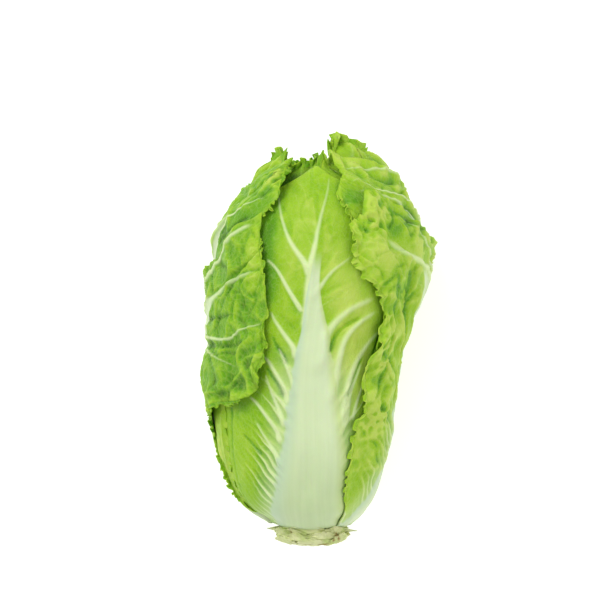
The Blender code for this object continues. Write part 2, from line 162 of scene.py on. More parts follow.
def cells(x: Array, y: Array, size: float, seed: int) -> tuple[Array, Array]:
    """Distances to the nearest seeds of an irregular net of cells.

    Args:
        x: First coordinate, in millimetres.
        y: Second coordinate.
        size: Width of a usual cell.
        seed: Picks the net.

    Returns:
        The distance to the nearest and to the second nearest seed, in cell widths.
    """
    draw = np.random.default_rng(seed)
    jitter = draw.uniform(0.1, 0.9, (RANDOM_GRID, RANDOM_GRID, 2))
    gx, gy = x / size, y / size
    ix, iy = np.floor(gx).astype(int), np.floor(gy).astype(int)
    first = np.full(x.shape, 9.0)
    second = np.full(x.shape, 9.0)
    for dx in (-1, 0, 1):
        for dy in (-1, 0, 1):
            at = jitter[(ix + dx) % RANDOM_GRID, (iy + dy) % RANDOM_GRID]
            gap = np.hypot(ix + dx + at[..., 0] - gx, iy + dy + at[..., 1] - gy)
            second = np.minimum(second, np.maximum(first, gap))
            first = np.minimum(first, gap)
    return first, second


class Outline:
    """The head's outline, its core line, and the places that turn, path and depth name."""

    HEIGHT = (12, 17, 24, 32, 46, 60, 76, 100, 138, 170, 195, 215, 232, 248, 260, 274, 284, 290)
    RADIUS = (
        27, 33.5, 41, 47.5, 54.5, 59, 62.5, 65.5, 71.5, 76, 78.5, 78.5, 75, 67, 57.5, 43, 28, 9,
    )
    CORE_PATH = (0, 0.03, 0.09, 0.19, 0.31, 0.47, 0.61, 0.72, 0.82, 0.91, 1)
    CORE_HEIGHT = (13, 18, 31, 56, 90, 130, 160, 178, 190, 197, 201)
    CORE_RADIUS = 2.0
    LEAN_HEIGHT = (0, 24, 76, 138, 164, 200, 250, 300)
    LEAN_SIDE = (0.0, -4.0, -5.0, -4.5, -1.0, 4.0, 7.5, 9.5)
    FLATTEN = 0.95
    TILT = np.radians(6.5)
    REST_HEIGHT = 150.0
    STEM_HEIGHT = (0, 1.5, 8, 10.5, 13, 18, 28, 40, 55)
    STEM_RADIUS = (23.0, 24.5, 25.0, 24.0, 21.5, 21.0, 20.0, 14.0, 6.0)

    def __init__(self) -> None:
        """Walks the outline once, so that a path can be turned into a height."""
        walk = np.cumsum(np.hypot(np.diff(self.HEIGHT), np.diff(self.RADIUS)))
        self.length = walk[-1]
        self.path = np.concatenate([[0], walk]) / self.length
        self.fine = np.linspace(0, 1, 400)
        self.fine_height = smooth(self.path, self.HEIGHT, self.fine)

    def path_at(self, height: Array) -> Array:
        """The path whose outline point is this high above the cut."""
        return np.interp(height, self.fine_height, self.fine)

    def radius(self, path: Array) -> Array:
        """The outline's radius at this path."""
        return smooth(self.path, self.RADIUS, path)

    def rays(self, path: Array) -> tuple[Array, Array, Array, Array]:
        """The rays from the core line.

        Args:
            path: Where on the outline each ray ends.

        Returns:
            The start's height, the ray's direction in height and in radius, and its length.
        """
        low = smooth(self.CORE_PATH, self.CORE_HEIGHT, path)
        up = smooth(self.path, self.HEIGHT, path) - low
        out = self.radius(path) - self.CORE_RADIUS
        length = np.hypot(up, out)
        return low, up / length, out / length, length

    def on_axis(self, turn: Array, height: Array, radius: Array) -> Array:
        """The point at this turn, height above the cut and radius, with the axis above z = 0."""
        side = smooth(self.LEAN_HEIGHT, self.LEAN_SIDE, height) + radius * np.sin(turn)
        up = height - self.REST_HEIGHT
        level = self.FLATTEN * radius * np.cos(turn)
        ahead = up * np.cos(self.TILT) - level * np.sin(self.TILT)
        above = up * np.sin(self.TILT) + level * np.cos(self.TILT)
        return np.stack([side, ahead, above], axis=-1)

    def place(self, turn: Array, path: Array, depth: Array) -> Array:
        """The point at this turn, path and depth, before the head is set down."""
        low, up, out, _ = self.rays(path)
        return self.on_axis(turn, low + up * depth, self.CORE_RADIUS + out * depth)

    def stem_depth(self, path: Array) -> Array:
        """The depth at which each ray leaves the stem's core."""
        low, up, out, _ = self.rays(path)
        depth = np.linspace(0, 60, 241)
        height = low[..., None] + up[..., None] * depth
        radius = self.CORE_RADIUS + out[..., None] * depth
        stem = smooth(self.STEM_HEIGHT, self.STEM_RADIUS, height)
        return ((radius <= stem * (height < self.STEM_HEIGHT[-1])) * depth).max(axis=-1)


OUTLINE = Outline()


class Laid:
    """How deep the leaves laid so far reach, on a grid of turn and path."""

    TURNS = 180
    PATHS = 128

    def __init__(self, depth: Array) -> None:
        """Starts from these depths."""
        self.depth = depth

    @classmethod
    def grid(cls) -> tuple[Array, Array]:
        """The turn and the path of every cell."""
        turn = np.arange(cls.TURNS) * 2 * np.pi / cls.TURNS
        return tuple(np.meshgrid(turn, np.linspace(0, 1, cls.PATHS), indexing="ij"))

    def read(self, turn: Array, path: Array, values: Array | None = None) -> Array:
        """The value at any turn and path, from the depths or from another grid like them."""
        values = self.depth if values is None else values
        i = (turn / (2 * np.pi) * self.TURNS) % self.TURNS
        j = np.clip(path, 0, 1) * (self.PATHS - 1)
        i0, j0 = np.floor(i).astype(int), np.minimum(np.floor(j).astype(int), self.PATHS - 2)
        a, b = i - i0, j - j0
        i0 %= self.TURNS
        i1 = (i0 + 1) % self.TURNS
        near = values[i0, j0] * (1 - a) + values[i1, j0] * a
        far = values[i0, j0 + 1] * (1 - a) + values[i1, j0 + 1] * a
        return near * (1 - b) + far * b

    def add(self, turn: Array, path: Array, depth: Array) -> None:
        """Raises the cells under a leaf's grid to its depth.

        Args:
            turn: The grid's turns, in radians.
            path: Its paths.
            depth: Its outer depths.
        """
        for a in (0.0, 0.33, 0.67):
            for b in (0.0, 0.33, 0.67):
                parts = []
                for grid in (turn, path, depth):
                    low = grid[:-1, :-1] * (1 - a) + grid[:-1, 1:] * a
                    high = grid[1:, :-1] * (1 - a) + grid[1:, 1:] * a
                    parts.append(low * (1 - b) + high * b)
                i = np.round(parts[0] / (2 * np.pi) * self.TURNS).astype(int) % self.TURNS
                j = np.clip(np.round(parts[1] * (self.PATHS - 1)).astype(int), 0, self.PATHS - 1)
                np.maximum.at(self.depth, (i.ravel(), j.ravel()), parts[2].ravel())

    @staticmethod
    def blurred(values: Array, rounds: int) -> Array:
        """The values blurred round the head and along it."""
        for _ in range(rounds):
            padded = np.pad(values, ((0, 0), (1, 1)), mode="edge")
            values = (padded[:, :-2] + 2 * values + padded[:, 2:]) / 4
            values = (np.roll(values, 1, 0) + 2 * values + np.roll(values, -1, 0)) / 4
        return values

    @classmethod
    def widened(cls, values: Array, count: int) -> Array:
        """The largest value within some cells, then blurred: a surface that rides over steps."""
        for _ in range(count):
            padded = np.pad(values, ((0, 0), (1, 1)), mode="edge")
            values = np.maximum(values, np.maximum(padded[:, :-2], padded[:, 2:]))
            values = np.maximum(values, np.maximum(np.roll(values, 1, 0), np.roll(values, -1, 0)))
        return cls.blurred(values, count)

    def ridden(self, count: int) -> Array:
        """The depths that a leaf laid on this may have."""
        length = OUTLINE.rays(self.grid()[1])[3]
        return self.widened(self.depth / length, count) * length


@dataclass(frozen=True)
class Vein:
    """One vein drawn on a leaf: (degrees, millimetres) pairs of turn and height, a half-width at
    its start, how far it stands up, how much of both is left at its end, and how white it is.
    A fold between two ribs is a vein that stands down and has white below 0, which paints shade
    into the fold."""

    points: Pairs
    width: float = 1.5
    rise: float = 0.9
    left: float = 0.35
    white: float = 1.0

    STEPS = 24

    def reach(self, turn: Array, along: Array, radius: Array) -> Array:
        """How near each place of a leaf is to this vein.

        Args:
            turn: The places' turns, in degrees.
            along: Their distance along the outline, in millimetres.
            radius: The outline's radius there.

        Returns:
            1 on the vein's crest, thinning out to 0 beside it and towards its end.
        """
        given = np.array(self.points, float)
        station = np.linspace(0, 1, len(given))
        fine = np.linspace(0, 1, self.STEPS)
        vein_turn = smooth(station, given[:, 0], fine)
        vein_along = OUTLINE.path_at(smooth(station, given[:, 1], fine)) * OUTLINE.length
        best = np.zeros_like(turn)
        scale = np.radians(radius)
        for i in range(len(fine) - 1):
            ax, ay = (turn - vein_turn[i]) * scale, along - vein_along[i]
            bx = (vein_turn[i + 1] - vein_turn[i]) * scale
            by = vein_along[i + 1] - vein_along[i]
            share = np.clip((ax * bx + ay * by) / (bx * bx + by * by + 1e-9), 0, 1)
            gap = np.hypot(ax - share * bx, ay - share * by)
            at = fine[i] + share * (fine[1] - fine[0])
            keep = 1 - (1 - self.left) * at
            fade = step(1.02 - at, 0, 0.12) * step(at, -0.04, 0.09)
            best = np.maximum(best, np.exp(-((gap / (self.width * keep)) ** 2)) * keep * fade)
        return best


@dataclass(frozen=True)
class Crumple:
    """A crushed patch of a leaf: its turn in degrees, its height and its size in millimetres."""

    turn: float
    height: float
    size: float
    rise: float = 5.0
    fold: float = 9.0


@dataclass(frozen=True)
class LightPatch:
    """A patch of painted light and shade on a leaf: its turn in degrees, its height, half its width
    and height in millimetres, and its light, from -1 for deep green painted shade to 1 for pale
    painted light."""

    turn: float
    height: float
    wide: float
    tall: float
    light: float


class Edge(Enum):
    """Which edge of a leaf a frill runs along."""

    LOW = "the edge at the smaller turn"
    HIGH = "the edge at the greater turn"
    TIP = "the top edge"


class Split(Enum):
    """How a leaf's faces are split, so that no vein runs across the splits."""

    MIRRORED = "each half along its own side veins"
    RISING = "both halves towards growing turns"
    FALLING = "both halves towards shrinking turns"


@dataclass(frozen=True)
class Frill:
    """A curled margin: the edge it runs along, from where to where on it (0 to 1), its width and
    how far it swings, in millimetres, its waves, how steeply it stands off, and its painted light,
    which is painted shade below 0."""

    edge: Edge
    start: float
    end: float
    width: float = 6.0
    swing: float = 2.4
    waves: float = 6.0
    stand: float = 0.4
    light: float = 0.0
    seed: int = 1

    THICK = 0.7
    POINTS, ROWS = 97, 11
    ROOT = -0.25
    CALM_ROUNDS = 24

    def build(self, name: str, inner: Array, outer: Array) -> bpy.types.Object:
        """Makes the frill on a leaf that is laid.

        Args:
            name: The object's name.
            inner: The leaf's inner points, foot to tip by low edge to high edge by 3.
            outer: Its outer points.

        Returns:
            The object, which carries the marks that the leaf's colours read.
        """
        middle, thick = (inner + outer) / 2, outer - inner
        line, back, off = {
            Edge.LOW: (middle[:, 0], middle[:, 4], thick[:, 3]),
            Edge.HIGH: (middle[:, -1], middle[:, -5], thick[:, -4]),
            Edge.TIP: (middle[-1], middle[-5], thick[-4]),
        }[self.edge]
        share = np.linspace(self.start, self.end, self.POINTS)
        where = np.linspace(0, 1, len(line))
        line, back, off = (
            np.stack([np.interp(share, where, row[:, k]) for k in range(3)], axis=-1)
            for row in (line, back, off)
        )
        ahead = np.gradient(line, axis=0)
        length = np.linalg.norm(ahead, axis=-1).sum()
        ahead = self._unit(self._calm(ahead))
        off = self._unit(self._calm(off))
        away = self._unit(self._calm(line - back))
        away = self._unit(away * (1 - self.stand) + off * self.stand)
        swing = self._unit(np.cross(ahead, away))
        s, t = np.meshgrid(
            np.linspace(0, 1, self.POINTS), np.linspace(self.ROOT, 1, self.ROWS)
        )
        grow = np.clip(t, 0, 1)
        phase = self.waves * s + 0.4 * wander(s, self.seed, 2.0)
        sway = np.sin(2 * np.pi * phase) + 0.3 * grow * np.sin(4.6 * np.pi * phase + 1.0)
        slip = -0.11 * length / self.waves * np.sin(4 * np.pi * phase)
        ends = np.clip(np.sin(np.pi * s), 0, 1) ** 0.45
        tall = self.width * (0.8 + 0.3 * wander(s, self.seed + 1, self.waves * 0.6)) * ends
        uneven = 0.7 + 0.4 * wander(s, self.seed + 2, 1.5)
        points = line[None] + away[None] * (t * tall)[..., None]
        points = points + swing[None] * (self.swing * uneven * ends * sway * grow**1.3)[..., None]
        points = points + ahead[None] * (slip * ends * grow)[..., None]
        across = self._unit(np.cross(np.gradient(points, axis=1), np.gradient(points, axis=0)))
        zero = np.zeros_like(s)
        marks = {
            "rib": zero,
            "rib_side": zero,
            "vein": 0.35 * np.clip(np.cos(4 * np.pi * phase) * 4 - 3, 0, 1) * (1 - grow),
            "fan": zero,
            # painted light on one side of each wave and painted shade on the other
            "puff": np.clip(0.5 + 0.3 * sway * grow, 0, 1),
            # the whole frill's painted light and shade
            "patch": zero + self.light,
            "margin": step(grow, 0.6, 1.0),
        }
        faces = points - across * self.THICK / 2, points + across * self.THICK / 2
        return Sheet(name, *faces).build(marks, (s * length, t * self.width))

    @staticmethod
    def _unit(rows: Array) -> Array:
        """The rows with length 1."""
        return rows / np.maximum(np.linalg.norm(rows, axis=-1, keepdims=True), 1e-9)

    @classmethod
    def _calm(cls, rows: Array) -> Array:
        """The rows smoothed along the edge."""
        for _ in range(cls.CALM_ROUNDS):
            padded = np.pad(rows, ((1, 1), (0, 0)), mode="edge")
            rows = (padded[:-2] + 2 * padded[1:-1] + padded[2:]) / 4
        return rows


@dataclass(frozen=True)
class Leaf:
    """One leaf. Its rib and its two side edges are each seven (degrees, millimetres) pairs,
    the turn and the height above the cut, from the foot to the tip."""

    name: str
    rib: Pairs
    low_edge: Pairs
    high_edge: Pairs
    gap: float = 1.0
    ruffle: float = 4.5
    press: float = 0.0
    waves: float = 6.0
    flare: float = 0.0
    tip_waves: float = 2.2
    rib_scale: float = 1.0
    seed: int = 1
    across: int = 110
    along: int = 150
    veins: tuple[Vein, ...] = ()
    crumples: tuple[Crumple, ...] = ()
    patches: tuple[LightPatch, ...] = ()
    frills: tuple[Frill, ...] = ()
    split: Split = Split.MIRRORED
    folds: float = 1.0
    fan: float = 1.0
    fan_top: float = 400.0
    side_veins: float = 0.55
    dimple: float = 1.0
    frill: float = 1.0
    tone: float = 0.0
    quilting: float = 0.5
    rib_width: tuple[float, ...] = (27, 24.5, 20, 14, 7.5, 4, 2)
    rib_thick: tuple[float, ...] = (7.0, 7.0, 6.2, 4.6, 3.2, 2.2, 1.3)

    STATIONS = (0, 1 / 6, 2 / 6, 3 / 6, 4 / 6, 5 / 6, 1)
    BLADE_THICK = 1.1
    TIP_START = 0.84

    def grid(self) -> tuple[Array, Array]:
        """The grid of u, -1 at the low edge and 1 at the high one, and v, 0 at the foot."""
        across = np.linspace(-1, 1, self.across + 1)
        across = np.sign(across) * (1 - (1 - np.abs(across)) ** 1.12)
        along = np.linspace(0, 1, self.along + 1)
        along = along - 0.2 * np.sin(2 * np.pi * along) / (2 * np.pi)
        return tuple(np.meshgrid(across, along))


def blurred(values: Array, rounds: int) -> Array:
    """The values of a leaf's grid, blurred both ways."""
    for _ in range(rounds):
        padded = np.pad(values, 1, mode="edge")
        values = (padded[:-2, 1:-1] + 2 * values + padded[2:, 1:-1]) / 4
        padded = np.pad(values, 1, mode="edge")
        values = (padded[1:-1, :-2] + 2 * values + padded[1:-1, 2:]) / 4
    return values


class Layer:
    """Lays one leaf over what is already laid."""

    SPREAD = 3

    def __init__(self, leaf: Leaf, fine: bool) -> None:
        """Works out where the leaf is.

        Args:
            leaf: The leaf.
            fine: Whether it gets its full grid, or a coarse one to try its depth with.
        """
        self.leaf = leaf if fine else replace(leaf, across=44, along=60)
        self.fine = fine
        self.u, self.v = self.leaf.grid()
        self._place()

    def _place(self) -> None:
        """Finds turn, path, and the distance from the rib."""
        leaf, u, v = self.leaf, self.u, self.v
        stations = leaf.STATIONS
        rib, low, high = (
            [smooth(stations, row, v) for row in np.array(pairs, float).T]
            for pairs in (leaf.rib, leaf.low_edge, leaf.high_edge)
        )
        share = np.abs(u)
        edge_turn = np.where(u < 0, low[0], high[0])
        edge_height = np.where(u < 0, low[1], high[1])
        notch = wander(v + 0.37 * np.sign(u), leaf.seed, 3.0) * step(v, 0.25, 0.5) * share**4
        tip = min(leaf.tip_waves, 1) ** 2
        tip_notch = wander(u, leaf.seed + 40, 2.0) * step(v, leaf.TIP_START, 1) * tip
        teeth = wander(v + 0.2 * np.sign(u), leaf.seed + 3, 14.0, 4) * step(v, 0.2, 0.4)
        notch = notch + 0.35 * teeth * share**8 * leaf.frill
        tip_notch = tip_notch + 0.4 * wander(u, leaf.seed + 44, 5.0, 4) * step(v, 0.9, 1) * tip
        turn = rib[0] + (edge_turn - rib[0]) * share * (1 + 0.08 * notch)
        height = rib[1] + (edge_height - rib[1]) * share**1.5
        path = np.clip(OUTLINE.path_at(height) + 0.02 * tip_notch, 0, 0.985)
        radius = OUTLINE.radius(path)
        self.radius = radius
        self.away = np.radians(np.abs(turn - rib[0])) * radius
        self.side = self.away * np.sign(u)
        self.flat = np.radians(turn - np.mean(rib[0])) * radius
        self.turn_deg = turn
        self.turn = np.radians(turn)
        self.path = path
        self.along = path * OUTLINE.length
        self.rib_width = smooth(stations, leaf.rib_width, v)
        self.rib_half = self.rib_width * leaf.rib_scale

    def offset(self, turn: float, height: float) -> tuple[Array, Array]:
        """How far each place lies from this one, round the head and along it."""
        around = np.radians(self.turn_deg - turn) * self.radius
        return around, self.along - OUTLINE.path_at(height) * OUTLINE.length

    def thickness(self) -> Array:
        """The leaf's thickness: a thin blade with a thick rib, rounded off at the foot."""
        leaf = self.leaf
        rib = smooth(leaf.STATIONS, leaf.rib_thick, self.v) * leaf.rib_scale
        self.rib_share = np.exp(-((self.away / self.rib_half) ** 4.0))
        body = leaf.BLADE_THICK + (rib - leaf.BLADE_THICK) * self.rib_share
        foot = np.clip(self.v / 0.05, 0, 1)
        return np.maximum(body * np.sqrt(1 - 0.75 * (1 - foot) ** 2), leaf.BLADE_THICK)

    def petiole(self, side: Array) -> Array:
        """Where the leaf is white petiole, which runs out into its side ribs.

        Args:
            side: How near each place is to a side rib.

        Returns:
            1 on the petiole and 0 beside it.
        """
        uneven = clouds(self.flat, self.along, 30, self.leaf.seed + 90, 2)
        half = self.rib_half * (1 + 0.05 * uneven)
        reach = self.away - 2.6 * side * step(half, 6, 14)
        return 1 - step(reach / np.maximum(half, 1), 0.74, 1.26)

    def ruffle(self) -> Array:
        """How far the blade waves towards its free edges, unevenly."""
        leaf, u, v = self.leaf, self.u, self.v
        x, y = self.flat, self.along
        share = np.abs(u)
        near_edge = np.maximum(step(share, 0.4, 1.0), step(v, 0.72, 1.0))
        uneven = clouds(x, y, 80, leaf.seed + 7, 2)
        phase = leaf.waves * (v + 0.3 * share) + 1.3 * uneven + np.where(u < 0, 0.0, 0.33)
        wave = 0.5 + 0.5 * np.sin(2 * np.pi * phase)
        quick = 2.6 * phase + 0.9 * clouds(x, y, 34, leaf.seed + 8, 1)
        wave = wave + 0.12 * np.sin(2 * np.pi * quick) * step(share, 0.7, 1)
        wave = wave * np.clip(0.55 + 0.6 * clouds(x, y, 60, leaf.seed + 71, 1), 0.1, 1.1)
        tip_phase = leaf.tip_waves * u + 0.3 * wander(u, leaf.seed + 9)
        tip_wave = 0.5 + 0.5 * np.sin(2 * np.pi * tip_phase)
        wave = wave + (tip_wave - wave) * step(v, leaf.TIP_START, 1)
        narrow = 1 - step(v, 0.75, 0.95) * (1 - min(leaf.tip_waves, 1))
        return leaf.ruffle * near_edge * step(v, 0.22, 0.5) * wave * narrow

    def creases(self) -> tuple[Array, Array]:
        """The blade's crinkles, which run out from the rib as its side veins do.

        Returns:
            How far they stand, in millimetres, and where the blade is creased deep, 0 to 1.
        """
        leaf, y = self.leaf, self.along
        x = self.flat * np.sign(self.u) + 400 * (self.u < 0)
        bent_x = x + 7 * clouds(x, y, 52, leaf.seed + 80)
        bent_y = y + 7 * clouds(x, y, 52, leaf.seed + 81)
        out = 0.67 * bent_x + 0.74 * bent_y
        over = 0.67 * bent_y - 0.74 * bent_x
        ridge = 1 - np.abs(clouds(over, out / 1.5, 30, leaf.seed + 82, 2))
        valley = 1 - np.abs(clouds(over + 90, out / 1.6, 36, leaf.seed + 83, 2))
        deep = np.clip(valley, 0, 1) ** 6
        dome, _ = cells(bent_x, bent_y, 15.0, leaf.seed + 84)
        small, _ = cells(bent_x, bent_y * 1.1, 7.5, leaf.seed + 85)
        swell = clouds(x, y, 60, leaf.seed + 86, 2)
        stand = 1.8 * np.clip(ridge, 0, 1) ** 3 - 1.2 * deep + 2.1 * (0.75 - dome) + 2.4 * swell
        return leaf.folds * (stand + 0.5 * (0.75 - small)), np.clip(leaf.folds, 0, 1) * deep

    def side_vein_crest(self) -> tuple[Array, Array]:
        """The side veins that leave the rib, close together low down and wide apart above.

        Returns:
            How near each place is to a side vein, and how much it lies in the close fan.
        """
        leaf = self.leaf
        half = self.rib_half
        out = np.maximum(self.away - 0.75 * half, 0)
        uneven = clouds(self.side, self.along, 46, leaf.seed + 21, 2)
        start = self.along - 1.25 * out**0.92 - 2.2 * uneven * np.clip(out / 12, 0.15, 1)
        close = 1 - step(start, 110, 175)
        knots = np.linspace(-200, 420, 620)
        spacing = 5.6 + 16 * step(knots, 40, 180)
        count = np.concatenate([[0], np.cumsum(np.diff(knots) / spacing[1:])])
        phase = np.interp(start, knots, count) + np.where(self.side < 0, 0.4, 0.0)
        nearest = np.round(phase)
        strength = np.random.default_rng(leaf.seed + 22).uniform(0.25, 1.0, 200)
        strong = strength[np.clip(nearest + 60 + 70 * (self.side < 0), 0, 199).astype(int)]
        gap = np.abs(phase - nearest) * np.interp(start, knots, spacing) * 0.72
        fade = step(self.away / np.maximum(half, 1), 0.6, 1.05)
        width = 0.8 + (0.5 + step(start, 20, 90)) * (1 - step(out, 0, 22))
        crest = strong * np.exp(-((gap / width) ** 2)) * fade * (1 - 0.9 * step(out, 8, 44))
        return crest, close

    def shape(self, cover: Array) -> "Layer":
        """Works out the leaf's relief and the marks that its colours read.

        Args:
            cover: How much of the head later leaves cover.

        Returns:
            This layer.
        """
        leaf = self.leaf
        x, y = self.flat, self.along
        free = 1 - np.clip(Laid(cover).read(self.turn, self.path), 0, 1)
        self.thick = self.thickness()
        calm = 1 - self.rib_share
        crest, close = self.side_vein_crest()
        drawn, rise, patch = np.zeros_like(x), np.zeros_like(x), np.zeros_like(x)
        for vein in leaf.veins:
            near = vein.reach(self.turn_deg, self.along, self.radius)
            drawn = np.maximum(drawn, near * vein.white)
            rise = rise + near * vein.rise
            # a vein with white below 0 paints shade into its fold
            patch = patch + 1.3 * near * min(vein.white, 0)
        # painted light and painted shade from the leaf's light patches
        for spot in leaf.patches:
            dx, dy = self.offset(spot.turn, spot.height)
            patch = patch + spot.light * np.exp(-((dx / spot.wide) ** 2) - (dy / spot.tall) ** 2)
        fan = close * leaf.fan * (1 - step(self.along, leaf.fan_top - 30, leaf.fan_top + 10))
        side = crest * np.maximum(leaf.side_veins, fan)
        net_x = x + 3 * clouds(x, y, 20, leaf.seed + 60)
        net_y = y + 3 * clouds(x, y, 20, leaf.seed + 61)
        first, second = cells(net_x, net_y, 9.0, leaf.seed + 62)
        net = np.exp(-(((second - first) / 0.16) ** 2))
        blade = calm * step(self.v, 0.05, 0.2)
        creases, deep = self.creases()
        bend = leaf.dimple * (creases + 0.3 * net) * blade * (1 - 0.45 * fan)
        bend = bend + 3.2 * side * fan * blade
        for crumple in leaf.crumples:
            dx, dy = self.offset(crumple.turn, crumple.height)
            place = np.exp(-((dx * dx + dy * dy) / crumple.size**2))
            folds = np.clip(np.abs(clouds(x, y, crumple.fold * 2, leaf.seed + 66, 2)), 0, 1)
            bend = bend + crumple.rise * place * (0.35 + 0.9 * (1 - folds) ** 2)
            # painted light on the crumpled knob, painted shade in its folds
            patch = patch + place * (0.9 - 2.2 * folds)
        swell = self.ruffle() * free + bend * (0.15 + 0.85 * free)
        level = blurred(swell, 16)
        at_tip = step(self.v, leaf.TIP_START - 0.06, 1) ** 2
        flare = leaf.flare * at_tip * (1 - 0.8 * np.abs(self.u))
        gap = leaf.gap * (0.55 + 0.45 * step(self.v, 0, 0.3))
        self.lift = gap + swell + flare * free
        self.stand = (rise + 0.5 * side * (1 - 0.5 * fan)) * (0.3 + 0.7 * free)
        margin = np.maximum(step(np.abs(self.u), 0.9, 1.0), step(self.v, 0.95, 1.0))
        reach = 0.9 * self.rib_half
        self.marks = {
            "rib": np.clip(self.petiole(side) * (1 - step(self.v, 0.6, 0.85)), 0, 1),
            "rib_side": self.side / np.maximum(self.rib_width, 2),
            "vein": np.clip(np.maximum.reduce([drawn, side, 0.22 * net]), 0, 1),
            "fan": fan * (1 - step(self.away - reach, 0, 24)),
            # painted light where the blade stands above its blurred level, painted shade where it
            # sinks and in deep creases
            "puff": np.clip(0.5 + (swell - level) / 3.4 - 0.15 * deep * blade * leaf.dimple, 0, 1),
            # painted light and shade: light patches, shaded folds and crumples
            "patch": np.clip(patch, -1, 1),
            "margin": margin,
        }
        return self

    def lay(self, laid: Laid) -> "LaidLeaf":
        """Lays the leaf, and adds it to what is laid.

        Args:
            laid: What is already there. It is changed.

        Returns:
            The leaf's faces and marks.
        """
        under = laid.read(self.turn, self.path, laid.ridden(self.SPREAD))
        inner = blurred(under, 5 if self.fine else 1) + self.lift
        pressed = step(np.abs(self.u), 0.62, 0.95) * (1 - step(self.v, 0.3, 0.45))
        touching = laid.read(self.turn, self.path) + 0.5
        inner = inner + (touching - inner) * pressed * self.leaf.press
        outer = inner + self.thick + self.stand
        laid.add(self.turn, self.path, outer)
        return LaidLeaf(self, inner, outer)


@dataclass
class LaidLeaf:
    """A leaf once it is laid: its layer and the depths of its two faces."""

    layer: Layer
    inner: Array
    outer: Array


class Stack:
    """All leaves laid over the heart, from the inmost out."""

    ROUNDS = 8
    STEP_SHARE = 0.8
    BLUR = 9
    FIRST, MOST, LEAST = 0.5, 0.88, 0.18
    INSIDE = 0.6

    def __init__(self, leaves: list[Leaf]) -> None:
        """Keeps the leaves and finds what later leaves cover of each."""
        self.leaves = leaves
        self.covers = self._covers()

    def _covers(self) -> list[Array]:
        """For each leaf, how much of the head later leaves cover."""
        later = Laid(np.zeros((Laid.TURNS, Laid.PATHS)))
        found = []
        for leaf in reversed(self.leaves):
            found.append(Laid.widened(later.depth, Layer.SPREAD))
            layer = Layer(replace(leaf, across=60, along=90), True)
            later.add(layer.turn, layer.path, np.ones_like(layer.turn))
        return found[::-1]

    def layers(self, fine: bool) -> list[Layer]:
        """Every leaf's layer, with full grids or coarse ones."""
        return [Layer(leaf, fine).shape(cover) for leaf, cover in zip(self.leaves, self.covers)]

    @staticmethod
    def lay(layers: list[Layer], base: Array) -> tuple[list[LaidLeaf], Laid]:
        """Lays all leaves.

        Args:
            layers: The leaves' layers, from the inmost out.
            base: The depths that the inmost leaf lies on.

        Returns:
            The laid leaves and the finished surface.
        """
        laid = Laid(base.copy())
        done = [layer.lay(laid) for layer in layers]
        return done, laid

    def base(self) -> Array:
        """The heart's depths, such that the finished head meets its outline."""
        _, path = Laid.grid()
        length = OUTLINE.rays(path)[3]
        least = np.maximum(OUTLINE.stem_depth(path), self.LEAST * length * step(path, 0.15, 0.3))
        most = np.maximum(least, self.MOST * length * step(path, 0, 0.08))
        base = np.clip(self.FIRST * length, least, most)
        layers = self.layers(False)
        for _ in range(self.ROUNDS):
            _, laid = self.lay(layers, base)
            short = length - self.INSIDE - laid.depth
            base = base + self.STEP_SHARE * Laid.blurred(short, self.BLUR)
            base = np.clip(base, least, most)
        return base


class Floor:
    """Sets the finished head down, its underside pressed flat where it lies."""

    PRESSED_BY = 4.4
    PRESSED_TO = 55.0
    PRESSED_LAST = 0.4
    REST_LENGTH = 40.0

    def __init__(self, laid: Laid) -> None:
        """Finds how low the head reaches."""
        self.laid = laid
        points = OUTLINE.place(*Laid.grid(), laid.depth)
        near = np.abs(points[..., 1]) < self.REST_LENGTH
        self.level = points[..., 2][near].min() + self.PRESSED_BY

    def settle(self, points: Array, turn: Array, path: Array) -> Array:
        """Sets points down.

        Args:
            points: The points, in millimetres.
            turn: Their turns.
            path: Their paths.

        Returns:
            The points above the floor, those near it lifted by what the underside gives way.
        """
        under = OUTLINE.place(turn, path, self.laid.read(turn, path))[..., 2] - self.level
        lift = np.maximum(0, -under - self.PRESSED_LAST)
        down = points.copy()
        down[..., 2] -= self.level
        down[..., 2] += lift * (1 - step(down[..., 2], 0, self.PRESSED_TO))
        down[..., 2] = np.maximum(down[..., 2], 0)
        return down


def linked(name: str, data: bpy.types.ID) -> bpy.types.Object:
    """A new object that holds this data, linked into the scene."""
    made = bpy.data.objects.new(name, data)
    bpy.context.scene.collection.objects.link(made)
    return made


def joined(parts: list[bpy.types.Object]) -> bpy.types.Object:
    """Joins parts into one piece.

    Args:
        parts: The objects, of which the first is kept.

    Returns:
        The first object, now holding them all.
    """
    with bpy.context.temp_override(
        active_object=parts[0], selected_editable_objects=parts, selected_objects=parts
    ):
        bpy.ops.object.join()
    return parts[0]


